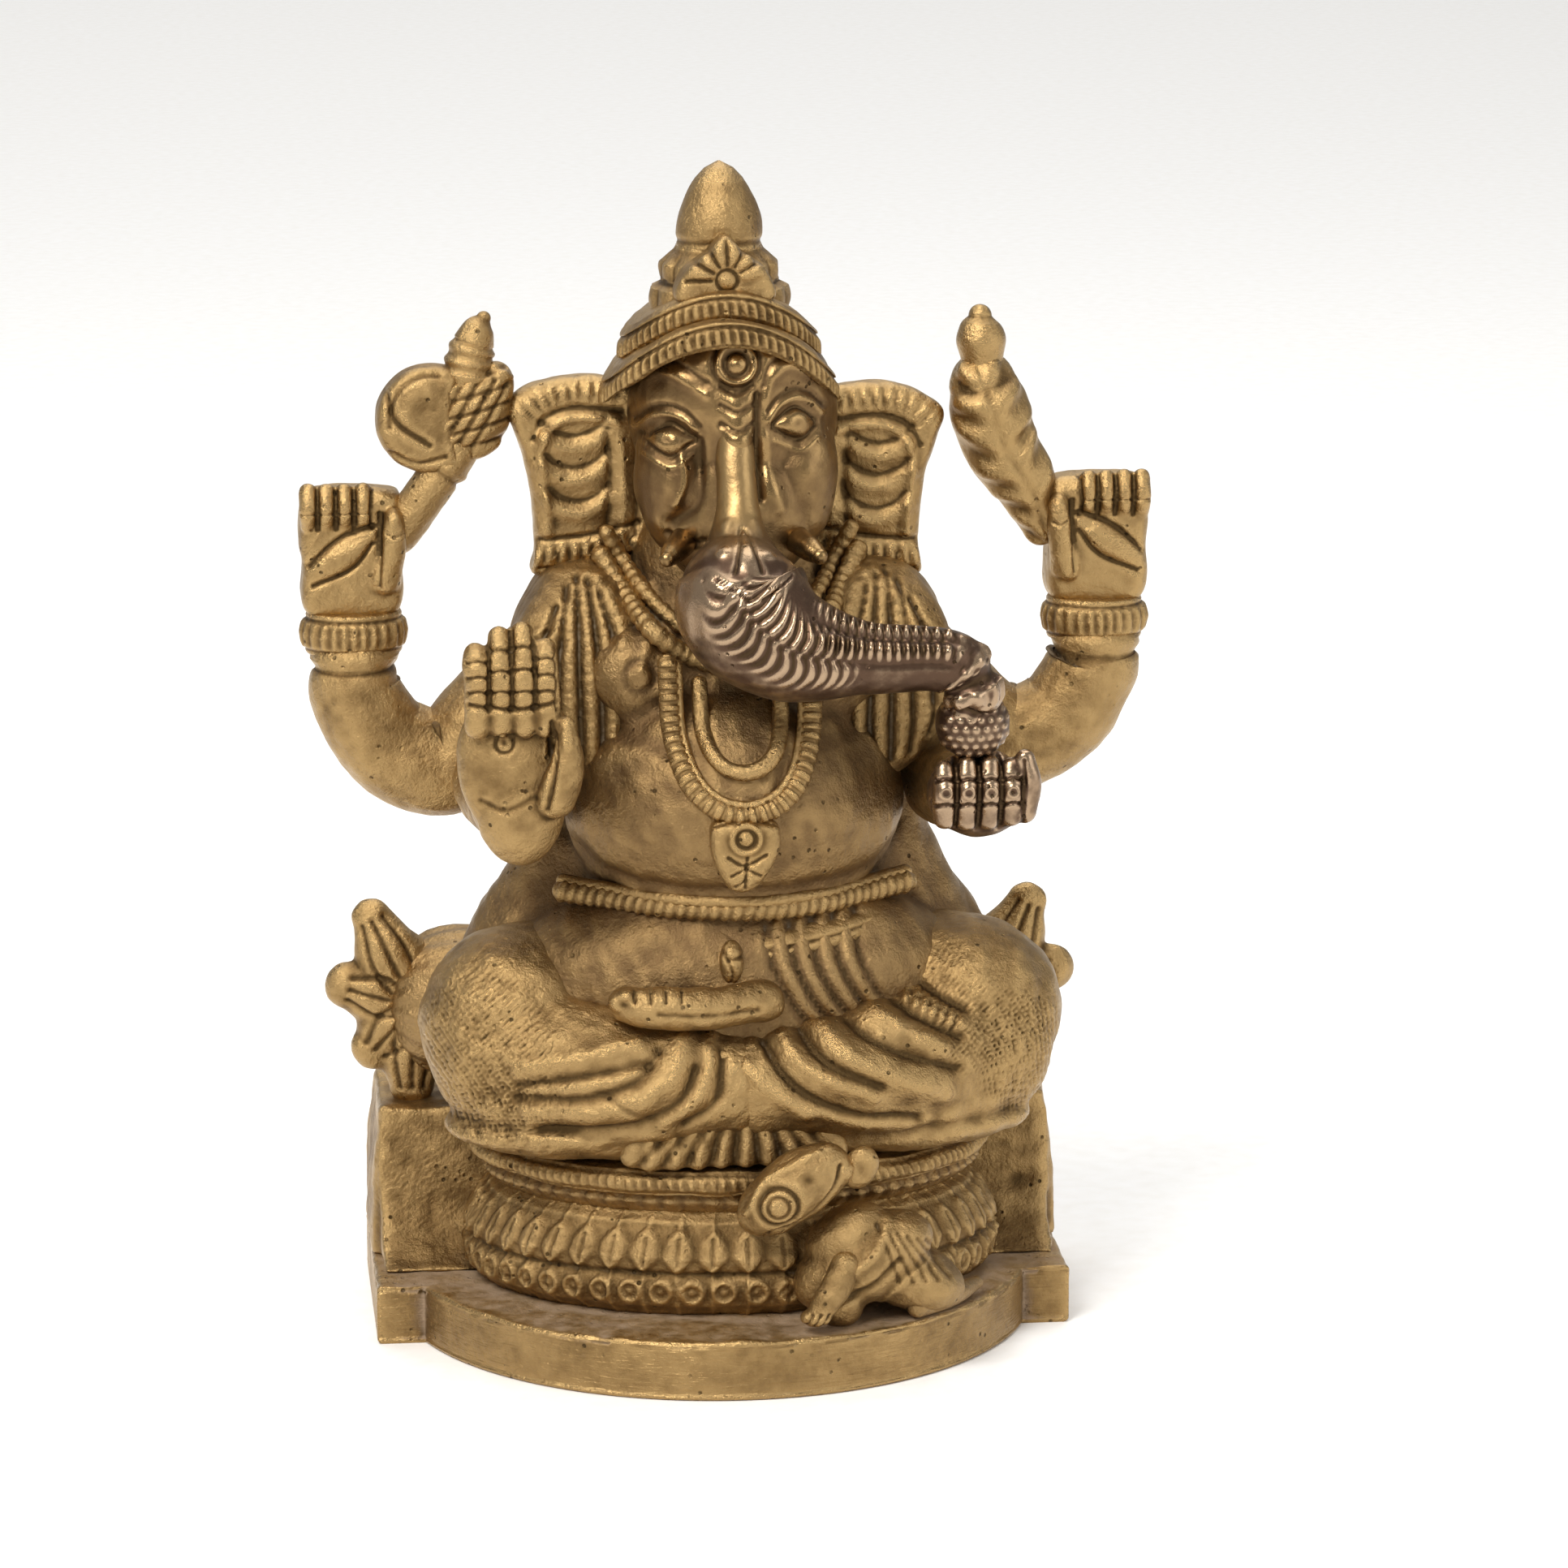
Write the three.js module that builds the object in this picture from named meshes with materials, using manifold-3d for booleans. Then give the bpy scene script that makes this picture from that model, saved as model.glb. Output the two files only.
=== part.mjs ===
// A seated elephant-headed deity in cast brass, on a lotus seat and a plinth with a bowed front.
// It is one rigid lost-wax casting. Each mesh is one of the masses that the wax is put together
// from, kept as its own solid with the joining gap between it and its neighbours.
// Millimetres, +Z up, the face towards -Y. Right and left are the figure's own: its right is -X.
import * as THREE from "three";
import { mergeVertices } from "three/addons/utils/BufferGeometryUtils.js";
import Module from "manifold-3d";

const wasm = await Module();
wasm.setup();

// ---- Driving dimensions -------------------------------------------------------------------

const JOINT_GAP = 0.3; // between two masses that meet
const FINENESS = 0.72; // share of its full number of sides that each round shape gets

// The plinth, and the block that stands across its rear half.
const BASE_X = -1; // the plinth's middle, a little to the right of the figure's
const BACK_Y = 24; // the flat back of plinth and block
const PLINTH_WIDTH = 68.4;
const PLINTH_THICKNESS = 5.8;
const SHOULDER_Y = -3; // where the straight front ends and the bow starts
const BOW_CHORD = 59.2;
const BOW_SAG = 21;
const BLOCK_WIDTH = 66.4;
const BLOCK_FLARE = 1.1; // each side leans out by this much at its foot
const BLOCK_HEIGHT = 14.8;
const BLOCK_FRONT_Y = 7.5;
const BLOCK_SETBACK = 0.8; // from the plinth's back
const BLOCK_SLOPE = 6; // the fillet that runs from its face down onto the plinth

// The round seat: a bulging lotus ring, a thin ledge and a cushion with a corded rim.
const SEAT_Y = 2;
const LOTUS_HALF_WIDTH = 26.4;
const LOTUS_HALF_DEPTH = 18.6;
const LOTUS_HEIGHT = 9.8;
const LEDGE_INSET = 2.6;
const LEDGE_HEIGHT = 1.4;
const CUSHION_HALF_WIDTH = 25.8;
const CUSHION_HALF_DEPTH = 18.2;
const CUSHION_HEIGHT = 2.5;

// The body, from the seat up.
const LEG_RADIUS = 9.6;
const KNEE_X = 21.6;
const KNEE_Y = -3;
const HIP_HALF_WIDTH = 28;
const HIP_HALF_DEPTH = 13;
const WAIST_RISE = 26; // from the seat's top to the waist
const BELLY_HALF_WIDTH = 16.6;
const BELLY_FRONT = 13.2;
const CHEST_HALF_WIDTH = 17.4;
const SHOULDER_RISE = 52; // from the seat's top to the shoulders
const BOLSTER_HALF_LENGTH = 30.5;
const BOLSTER_RADIUS = 7.4;
const BOLSTER_X = -1.9; // it lies a little to the right of the middle

// Rear arms, with the axe on the figure's right and the bud on its left.
const REAR_ARM_Y = 5.4;
const REAR_ARM_RADIUS = 4.7;
const REAR_HAND_X = 36.2;
const HAND_WIDTH = 10.4;
const HAND_HEIGHT = 12.2;
const HAND_THICKNESS = 6.2;
const BRACELET_HEIGHT = 4.2;
const BRACELET_RADIUS = 5.1;
const AXE_BLADE_RADIUS = 6;

// Front arms: the open hand raised in blessing, and the hand that holds the sweet.
const FRONT_HAND_X = 22;
const FRONT_ARM_RADIUS = 5.8;
const PALM_WIDTH = 10.6;
const PALM_HEIGHT = 13;
const PALM_THICKNESS = 4.4;
const PALM_FRONT_Y = -19.4;
const FINGER_RADIUS = 1.35;
const SWEET_RADIUS = 3.5;

// Head, ears and crown.
const HEAD_HALF_WIDTH = 10.2;
const HEAD_HALF_DEPTH = 9.4;
const HEAD_RISE = 19; // from the shoulders to the brow
const TRUNK_RADIUS = 6.9;
const EAR_THICKNESS = 4.6;
const EAR_Y = 5.2;
const CROWN_X = -0.9;
const BRIM_RADIUS = 11.4;
const BRIM_DROOP = 6.2; // how much lower the brim hangs at the temples
const TIER_RADIUS = 6.8;
const FINIAL_RADIUS = 4.2;
const FINIAL_HEIGHT = 8.2;

// ---- Levels that follow from them ---------------------------------------------------------

const lotusFoot = PLINTH_THICKNESS + JOINT_GAP;
const lotusTop = lotusFoot + LOTUS_HEIGHT;
const ledgeTop = lotusTop + JOINT_GAP + LEDGE_HEIGHT;
const seatTop = ledgeTop + JOINT_GAP + CUSHION_HEIGHT;
const blockTop = PLINTH_THICKNESS + JOINT_GAP + BLOCK_HEIGHT;
const legZ = seatTop + LEG_RADIUS + 1.8;
const waistZ = seatTop + WAIST_RISE;
const shoulderZ = seatTop + SHOULDER_RISE;
const browZ = shoulderZ + HEAD_RISE;
const brimZ = browZ + 6.6;
const tierZ = brimZ + 4.6;
const finialZ = tierZ + 4.4;
const handZ = shoulderZ + 5.8; // the rear hands' middle
const wristZ = handZ - HAND_HEIGHT / 2 - BRACELET_HEIGHT / 2 - JOINT_GAP;
const palmZ = waistZ + 15.4; // the blessing palm's middle

// ---- Shapes -------------------------------------------------------------------------------
// Each takes a last argument, grow: how far its surface is pushed out. A neighbour is cut by the
// shape grown by the joining gap.

const v = (x, y, z) => new THREE.Vector3(x, y, z);

const sidesOf = (full) => Math.max(6, 2 * Math.round((full * FINENESS) / 2));

// A closed three.js geometry as a solid.
function solid(geometry) {
  const bare = geometry.index ? geometry.toNonIndexed() : geometry.clone();
  bare.deleteAttribute("normal");
  bare.deleteAttribute("uv");
  const merged = mergeVertices(bare, 1e-4);
  return new wasm.Manifold(
    new wasm.Mesh({
      numProp: 3,
      vertProperties: merged.attributes.position.array,
      triVerts: new Uint32Array(merged.index.array),
    }),
  );
}

function join(first, ...others) {
  return others.reduce((whole, next) => whole.add(next), first);
}

// Moves every vertex of a geometry by a function of its place.
function reshape(geometry, place) {
  const position = geometry.attributes.position;
  const point = new THREE.Vector3();
  for (let i = 0; i < position.count; i++) {
    point.fromBufferAttribute(position, i);
    position.setXYZ(i, ...place(point).toArray());
  }
  return geometry;
}

// An egg with its own radius along each axis, turned by tilt (radians about X, Y, Z).
function egg(at, radii, grow = 0, { tilt = [0, 0, 0], sides = 16 } = {}) {
  const round = sidesOf(sides);
  const sphere = new THREE.SphereGeometry(1, round, Math.round(round * 0.6));
  sphere.rotateX(Math.PI / 2);
  sphere.scale(...radii.toArray().map((r) => r + grow));
  sphere.applyMatrix4(new THREE.Matrix4().makeRotationFromEuler(new THREE.Euler(...tilt)));
  sphere.translate(at.x, at.y, at.z);
  return solid(sphere);
}

// A limb: a round-ended tube along a smooth curve, with a radius at each of its points.
function limb(points, radii, grow = 0, { sides = 12, steps = 8 } = {}) {
  const curve = new THREE.CatmullRomCurve3(points);
  const frames = curve.computeFrenetFrames(steps, false);
  const capsule = new THREE.CapsuleGeometry(1, 1, 2, sidesOf(sides), steps);
  const radiusAt = (t) => {
    const place = t * (radii.length - 1);
    const low = Math.min(Math.floor(place), radii.length - 2);
    return THREE.MathUtils.lerp(radii[low], radii[low + 1], place - low) + grow;
  };
  return solid(
    reshape(capsule, (p) => {
      const along = THREE.MathUtils.clamp(p.y + 0.5, 0, 1);
      const station = Math.round(along * steps);
      const radius = radiusAt(along);
      return curve
        .getPointAt(station / steps)
        .addScaledVector(frames.tangents[station], (p.y + 0.5 - along) * radius)
        .addScaledVector(frames.normals[station], -p.x * radius)
        .addScaledVector(frames.binormals[station], p.z * radius);
    }),
  );
}

// A drum: a profile of [share of the radius, height] turned into an oval.
function drum(at, radiusX, radiusY, profile, grow = 0, sides = 28) {
  const middle = (profile[0][1] + profile.at(-1)[1]) / 2;
  const points = [
    [0, profile[0][1]],
    ...profile,
    [0, profile.at(-1)[1]],
  ].map(([r, z]) => new THREE.Vector2(r, z + Math.sign(z - middle) * grow));
  const lathe = new THREE.LatheGeometry(points, sidesOf(sides));
  lathe.rotateX(Math.PI / 2);
  return solid(
    reshape(lathe, (p) => {
      const r = Math.hypot(p.x, p.y);
      const out = r > 1e-6 ? grow / r : 0;
      return v(at.x + p.x * (radiusX + out), at.y + p.y * (radiusY + out), at.z + p.z);
    }),
  );
}

// A slab: an outline in X and Z with its front at frontY, and a small chamfer round both faces.
function slab(outline, frontY, thickness, grow = 0, chamfer = 0.6) {
  const plate = new THREE.ExtrudeGeometry(outline, {
    depth: thickness + 2 * (grow - chamfer),
    bevelThickness: chamfer,
    bevelSize: chamfer,
    bevelOffset: grow - chamfer,
    bevelSegments: 1,
    curveSegments: 6,
  });
  plate.translate(0, 0, chamfer - grow);
  plate.rotateX(Math.PI / 2);
  plate.translate(0, frontY + thickness, 0);
  return solid(plate);
}

const outline = (...corners) => new THREE.Shape(corners.map(([x, z]) => new THREE.Vector2(x, z)));

function block(low, high, grow = 0) {
  const size = high.clone().sub(low).addScalar(2 * grow);
  const middle = low.clone().add(high).multiplyScalar(0.5);
  const box = new THREE.BoxGeometry(...size.toArray());
  return solid(box.translate(...middle.toArray()));
}

// ---- The base -----------------------------------------------------------------------------

function plinthOutline() {
  const half = PLINTH_WIDTH / 2;
  const chord = BOW_CHORD / 2;
  const radius = (chord ** 2 + BOW_SAG ** 2) / (2 * BOW_SAG);
  const centreY = SHOULDER_Y + radius - BOW_SAG;
  const spread = Math.atan2(chord, centreY - SHOULDER_Y);
  const shape = new THREE.Shape();
  shape.moveTo(BASE_X + half, BACK_Y);
  shape.lineTo(BASE_X - half, BACK_Y);
  shape.lineTo(BASE_X - half, SHOULDER_Y);
  shape.lineTo(BASE_X - chord, SHOULDER_Y);
  shape.absarc(BASE_X, centreY, radius, -Math.PI / 2 - spread, -Math.PI / 2 + spread, false);
  shape.lineTo(BASE_X + half, SHOULDER_Y);
  return shape;
}

function plinth(grow) {
  const plate = new THREE.ExtrudeGeometry(plinthOutline(), {
    depth: PLINTH_THICKNESS + 2 * grow,
    bevelThickness: 0.01,
    bevelSize: 0,
    bevelOffset: grow,
    bevelSegments: 1,
    curveSegments: sidesOf(24),
  });
  plate.translate(0, 0, -grow);
  return solid(plate);
}

function throneBlock(grow) {
  const top = BLOCK_WIDTH / 2;
  const foot = top + BLOCK_FLARE;
  const floor = PLINTH_THICKNESS + JOINT_GAP;
  const face = outline(
    [BASE_X - foot, floor],
    [BASE_X + foot, floor],
    [BASE_X + top, blockTop],
    [BASE_X - top, blockTop],
  );
  const whole = slab(face, BLOCK_FRONT_Y, BACK_Y - BLOCK_SETBACK - BLOCK_FRONT_Y, grow);
  const fillet = new THREE.ExtrudeGeometry(
    outline(
      [BLOCK_FRONT_Y + 3, floor - grow],
      [BLOCK_FRONT_Y + 3, floor + BLOCK_SLOPE + 2.4 + grow],
      [BLOCK_FRONT_Y - BLOCK_SLOPE * 0.3 - grow, floor + BLOCK_SLOPE * 0.5 + grow],
      [BLOCK_FRONT_Y - BLOCK_SLOPE - grow, floor + 0.4 + grow],
      [BLOCK_FRONT_Y - BLOCK_SLOPE - grow, floor - grow],
    ),
    { depth: 2 * (foot - 0.8 + grow), bevelEnabled: false },
  );
  fillet.translate(0, 0, -(foot - 0.8 + grow));
  fillet.rotateX(Math.PI / 2).rotateZ(Math.PI / 2);
  fillet.translate(BASE_X, 0, 0);
  // It stops at the cushion's edge, so that no leaf of it lies over the seat.
  const clear = [[1, 0], [1, CUSHION_HEIGHT + 4]];
  const cushion = v(0, SEAT_Y, ledgeTop + JOINT_GAP);
  const seat = drum(cushion, CUSHION_HALF_WIDTH, CUSHION_HALF_DEPTH, clear, JOINT_GAP - grow, 36);
  return join(whole, solid(fillet)).subtract(seat);
}

function lotusRing(grow) {
  const bulge = [[0.94, 0], [1, 0.3], [0.99, 0.6], [0.93, 0.85], [0.86, 1]];
  const profile = bulge.map(([r, z]) => [r, z * LOTUS_HEIGHT]);
  return drum(v(0, SEAT_Y, lotusFoot), LOTUS_HALF_WIDTH, LOTUS_HALF_DEPTH, profile, grow, 32);
}

function seatLedge(grow) {
  const z = lotusTop + JOINT_GAP;
  const x = LOTUS_HALF_WIDTH - LEDGE_INSET;
  const y = LOTUS_HALF_DEPTH - LEDGE_INSET;
  return drum(v(0, SEAT_Y, z), x, y, [[0.95, 0], [1, LEDGE_HEIGHT * 0.6], [1, LEDGE_HEIGHT]], grow);
}

function seatCushion(grow) {
  const h = CUSHION_HEIGHT;
  const profile = [[0.95, 0], [1, 0.35 * h], [1, 0.7 * h], [0.95, h]];
  const z = ledgeTop + JOINT_GAP;
  return drum(v(0, SEAT_Y, z), CUSHION_HALF_WIDTH, CUSHION_HALF_DEPTH, profile, grow, 36);
}

// ---- The mouse, on the plinth's bow beside the seat -----------------------------------------

const mouseX = 10.4;
const mouseY = SEAT_Y - LOTUS_HALF_DEPTH - 1;
const mouseZ = PLINTH_THICKNESS + JOINT_GAP;

function mouseBody(grow) {
  const body = egg(v(mouseX, mouseY, mouseZ + 6.6), v(7, 4.3, 5), grow, { tilt: [0, 0.7, 0.1], sides: 14 });
  const rump = egg(v(mouseX + 4.6, mouseY + 1.8, mouseZ + 3.2), v(4.8, 4.2, 3.2), grow, { sides: 12 });
  return join(body, rump);
}

function mouseHead(grow) {
  const at = v(mouseX - 6.2, mouseY - 1.6, mouseZ + 13.4);
  return egg(at, v(6, 3, 3.7), grow, { tilt: [0, -0.66, 0], sides: 14 });
}

function mouseEar(grow) {
  const at = v(mouseX - 0.4, mouseY - 1.2, mouseZ + 15.2);
  return egg(at, v(1.9, 1.5, 2.3), grow, { tilt: [0, 0.5, 0], sides: 8 });
}

function mousePaw(grow) {
  const points = [v(mouseX - 2.2, mouseY - 4.2, mouseZ + 5), v(mouseX - 4.4, mouseY - 4.4, mouseZ + 1.6)];
  return limb(points, [1.5, 1.2], grow, { sides: 8, steps: 2 });
}

function mouseTail(grow) {
  const points = [
    v(mouseX + 5.4, mouseY - 1.4, mouseZ + 1),
    v(mouseX + 9.6, mouseY + 1.4, mouseZ + 1),
    v(mouseX + 12.4, mouseY + 6, mouseZ + 1),
  ];
  return limb(points, [1.1, 1, 0.8], grow, { sides: 8, steps: 4 });
}

// ---- Legs, bolster and dress ----------------------------------------------------------------

const hipY = SEAT_Y + 4;

function leg(side, grow) {
  const thigh = [v(side * 9, hipY + 2, legZ), v(side * 16, hipY - 4, legZ), v(side * KNEE_X, KNEE_Y, legZ)];
  const shin = [
    v(side * KNEE_X, KNEE_Y - 2, legZ - 2),
    v(side * 12, KNEE_Y - 8, legZ - 3),
    v(side * 3, KNEE_Y - 9, legZ - 3),
  ];
  const r = LEG_RADIUS;
  return join(
    limb(thigh, [r, r, r], grow, { steps: 5 }),
    limb(shin, [r - 1.4, r - 3, r - 4], grow, { steps: 5 }),
  );
}

function leftFoot(grow) {
  const z = legZ + 5;
  const points = [v(1.5, KNEE_Y - 11.4, z), v(-6, KNEE_Y - 12.2, z), v(-12, KNEE_Y - 10.8, z + 0.3)];
  return limb(points, [2.3, 2.2, 1.8], grow, { sides: 10, steps: 5 });
}

function frontPleats(grow) {
  const low = seatTop + JOINT_GAP;
  const edge = [[-12, 0], [9.5, 0], [8, 5], [2.5, 11], [-4.5, 11], [-10, 5]];
  const fan = outline(...edge.map(([x, up]) => [x, low + up]));
  return slab(fan, KNEE_Y - 14, 9, grow, 1.2);
}

function bolster(grow) {
  const z = seatTop + BOLSTER_RADIUS + 2.4;
  const reach = BOLSTER_HALF_LENGTH - 6;
  const points = [-reach, 0, reach].map((x) => v(BOLSTER_X + x, 13.4, z));
  return limb(points, [BOLSTER_RADIUS, BOLSTER_RADIUS, BOLSTER_RADIUS], grow, { steps: 2 });
}

// The gathered end of the bolster: three pleats that fan out.
function bolsterEnd(side, grow) {
  const z = seatTop + BOLSTER_RADIUS + 2.4;
  const root = v(BOLSTER_X + side * (BOLSTER_HALF_LENGTH - 3), 12.6, z);
  const pleats = [[3.9, 8.2], [6, 1.8], [1.6, blockTop + BOLSTER_RADIUS - 5.5 - z]].map(([out, up]) => {
    const tip = v(BOLSTER_X + side * (BOLSTER_HALF_LENGTH + out - 2.6), 12.2, z + up);
    return limb([root, root.clone().lerp(tip, 0.6), tip], [3.4, 3.4, 2.1], grow, { steps: 3 });
  });
  return join(...pleats);
}

// ---- Torso and its ornaments ----------------------------------------------------------------

const bellyZ = (waistZ + shoulderZ) / 2 - 5.6;
const bellyHalfHeight = (shoulderZ - waistZ) / 2;
const bellyY = SEAT_Y - 3;

function torso(grow) {
  const rise = WAIST_RISE / 26;
  const flare = [[0.74, 0], [0.84, 4], [0.93, 12], [0.96, 17], [0.9, 20], [0.8, 24], [0.73, 28], [0.66, 33]];
  const profile = flare.map(([r, z]) => [r, z * rise]);
  const hips = drum(v(0, hipY, seatTop + JOINT_GAP), HIP_HALF_WIDTH, HIP_HALF_DEPTH, profile, grow, 24);
  const lap = egg(v(0, KNEE_Y - 1, legZ + 1.4), v(19, 9.4, 8.6), grow, { sides: 18 });
  const bellySize = v(BELLY_HALF_WIDTH, BELLY_FRONT, bellyHalfHeight);
  const belly = egg(v(0, bellyY, bellyZ), bellySize, grow, { sides: 24 });
  const chest = egg(v(0, SEAT_Y + 1.4, shoulderZ - 8), v(CHEST_HALF_WIDTH, 9.6, 12.4), grow, { sides: 18 });
  const span = v(CHEST_HALF_WIDTH + 2.2, 7, 6.4);
  const shoulders = egg(v(0, SEAT_Y + 2.6, shoulderZ - 1.6), span, grow);
  const nape = egg(v(0, SEAT_Y + 2.4, shoulderZ + 3), v(9.4, 7.4, 9), grow, { sides: 14 });
  return join(hips, lap, belly, chest, shoulders, nape);
}

// A cord laid on the belly: an arch of half-width w from the shoulders down to a lowest point.
function bellyCord(halfWidth, topZ, lowZ, radius, grow) {
  const points = [];
  const turns = 8;
  for (let i = 0; i <= turns; i++) {
    const angle = Math.PI * (i / turns - 0.5);
    const x = halfWidth * Math.sin(angle);
    const z = topZ - (topZ - lowZ) * Math.cos(angle) ** 0.7;
    const share = 1 - (x / BELLY_HALF_WIDTH) ** 2 - ((z - bellyZ) / bellyHalfHeight) ** 2;
    const belly = bellyY - BELLY_FRONT * Math.sqrt(Math.max(share, 0));
    points.push(v(x, Math.min(belly, SEAT_Y - 6.4), z));
  }
  return limb(points, [radius, radius, radius], grow, { sides: 8, steps: 14 });
}

const necklaceOuter = (grow) => bellyCord(7.2, shoulderZ - 3.6, bellyZ + 1.2, 1.3, grow);
const necklaceInner = (grow) => bellyCord(4.4, shoulderZ - 4.6, bellyZ + 5.4, 0.8, grow);

function pendant(grow) {
  return egg(v(0, bellyY - BELLY_FRONT, bellyZ - 1.8), v(3.3, 1.8, 4), grow, { sides: 12 });
}

function neckCollar(grow) {
  const z = shoulderZ - 1;
  const side = (s) => [v(s * 11.6, -3, z + 4), v(s * 7, -7.6, z - 2.4)];
  const points = [...side(-1), v(0, -9, z - 4.6), ...side(1).reverse()];
  return limb(points, [1.4, 1.5, 1.5, 1.5, 1.4], grow, { sides: 8, steps: 10 });
}

function belt(grow) {
  const z = waistZ - 1.2;
  const share = Math.sqrt(1 - ((bellyZ - z) / bellyHalfHeight) ** 2);
  const x = BELLY_HALF_WIDTH * share + 4.6;
  const y = BELLY_FRONT * share + 4.4;
  return drum(v(0, bellyY, z - 1.6), x, y, [[0.97, 0], [1, 0.9], [1, 2.2], [0.95, 3]], grow, 32);
}

function waistSash(grow) {
  const z = legZ + 10.3;
  const points = [v(-2, KNEE_Y - 10.8, z - 1.4), v(5, KNEE_Y - 10.6, z - 0.9), v(13, KNEE_Y - 8, z + 0.6)];
  return limb(points, [1.5, 1.7, 1.3], grow, { sides: 8, steps: 5 });
}

function shoulderLocks(side, grow) {
  const z = shoulderZ - 6;
  const corners = [[9, z - 9], [9, z + 7], [19.5, z + 5.5], [23.5, z - 5], [19, z - 11]];
  return slab(outline(...corners.map(([x, up]) => [side * x, up])), -3.4, 8, grow, 1.6);
}

// ---- Rear arms and what they hold -----------------------------------------------------------

// Down from the shoulder, round the elbow and up to the bracelet. The left elbow is the softer one.
function rearArm(side, grow) {
  const x = side * REAR_HAND_X;
  const elbowZ = waistZ + 9.8 + (side > 0 ? 1.2 : 0);
  const points = [
    v(side * 17.4, REAR_ARM_Y - 0.4, shoulderZ - 4),
    v(side * 22.4, REAR_ARM_Y + 0.4, (shoulderZ - 4 + elbowZ) / 2 + 1.4),
    v(x - side * 9.2, REAR_ARM_Y + 0.6, elbowZ),
    v(x - side * 3.4, REAR_ARM_Y + 0.4, elbowZ + 2),
    v(x - side * 0.2, REAR_ARM_Y, elbowZ + 7),
    v(x, REAR_ARM_Y, wristZ - 1.4),
  ];
  const r = REAR_ARM_RADIUS;
  return limb(points, [r, r + 0.4, r + 0.6, r + 0.2, r - 0.3, r - 0.6], grow, { steps: 10 });
}

function rearBracelet(side, grow) {
  const h = BRACELET_HEIGHT;
  const at = v(side * REAR_HAND_X, REAR_ARM_Y, wristZ - h / 2);
  const profile = [[0.9, 0], [1, h * 0.3], [1, h * 0.7], [0.9, h]];
  return drum(at, BRACELET_RADIUS, BRACELET_RADIUS * 0.86, profile, grow, 16);
}

function rearHand(side, grow) {
  const x = side * REAR_HAND_X;
  const half = HAND_WIDTH / 2;
  const low = handZ - HAND_HEIGHT / 2;
  const top = handZ + HAND_HEIGHT / 2;
  const face = outline(
    [x - half + 1, low],
    [x + half - 1, low],
    [x + half, low + 5],
    [x + half, top - 0.6],
    [x - half, top - 0.6],
    [x - half, low + 5],
  );
  const frontY = REAR_ARM_Y - HAND_THICKNESS / 2;
  const fingers = [-1, 0, 1].map((i) => {
    const fx = x + side * (1.6 + i * 2.6);
    const points = [v(fx, frontY + 1, top - 4.2), v(fx, frontY + 1, top - 1.4)];
    return limb(points, [1.3, 1.3], grow, { sides: 8, steps: 1 });
  });
  return join(slab(face, frontY, HAND_THICKNESS, grow, 1.1), ...fingers);
}

// The held things start at the inner edge of the hand and lean in towards the ears.
const gripX = REAR_HAND_X - HAND_WIDTH / 2;

function axeHaft(grow) {
  const points = [
    v(-gripX, REAR_ARM_Y - 1, handZ + 2),
    v(-gripX + 3, REAR_ARM_Y - 0.6, handZ + 7.4),
    v(-gripX + 5.4, REAR_ARM_Y - 0.4, handZ + 12),
  ];
  return limb(points, [2.5, 2.3, 2.3], grow, { sides: 10, steps: 4 });
}

const socketX = -gripX + 6.2;
const socketZ = handZ + 13;

function axeSocket(grow) {
  return egg(v(socketX, REAR_ARM_Y - 0.4, socketZ), v(4.6, 3.2, 5), grow, { tilt: [0, 0.35, 0], sides: 14 });
}

function axeBlade(grow) {
  const r = AXE_BLADE_RADIUS;
  const shape = new THREE.Shape();
  shape.absarc(socketX - 3.6, socketZ - 0.4, r, Math.PI * 0.42, Math.PI * 1.62, false);
  return slab(shape, REAR_ARM_Y - 3, 5, grow, 1);
}

function axeSpike(grow) {
  const y = REAR_ARM_Y - 0.4;
  const points = [v(socketX + 0.8, y, socketZ + 4.4), v(socketX + 1.5, y, socketZ + 8.2)];
  return limb(points, [2.1, 0.9], grow, { sides: 10, steps: 3 });
}

function budStem(grow) {
  const points = [
    v(gripX, REAR_ARM_Y - 1, handZ + 1.4),
    v(gripX - 2.6, REAR_ARM_Y - 0.6, handZ + 6),
    v(gripX - 4.8, REAR_ARM_Y - 0.4, handZ + 11.6),
    v(gripX - 5.6, REAR_ARM_Y - 0.4, handZ + 14.2),
  ];
  return limb(points, [2.3, 3.5, 3.8, 2.9], grow, { sides: 12, steps: 7 });
}

function budTip(grow) {
  return egg(v(gripX - 6.3, REAR_ARM_Y - 0.4, handZ + 18.8), v(2.4, 2.3, 3.8), grow, { sides: 12 });
}

// ---- Front arms -----------------------------------------------------------------------------

function frontArm(side, grow) {
  const r = FRONT_ARM_RADIUS;
  const elbowZ = waistZ + 8.6;
  const upper = [
    v(side * (CHEST_HALF_WIDTH - 2.4), SEAT_Y - 0.4, shoulderZ - 3.4),
    v(side * (FRONT_HAND_X - 1.8), SEAT_Y - 1, shoulderZ - 10),
    v(side * FRONT_HAND_X, SEAT_Y - 2.4, elbowZ),
  ];
  const fore = [
    v(side * FRONT_HAND_X, SEAT_Y - 2.4, elbowZ),
    v(side * FRONT_HAND_X, PALM_FRONT_Y + 8.4, elbowZ + 0.6),
  ];
  return join(
    limb(upper, [r, r, r - 0.6], grow, { steps: 5 }),
    limb(fore, [r - 0.8, r - 2], grow, { sides: 10, steps: 3 }),
  );
}

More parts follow.
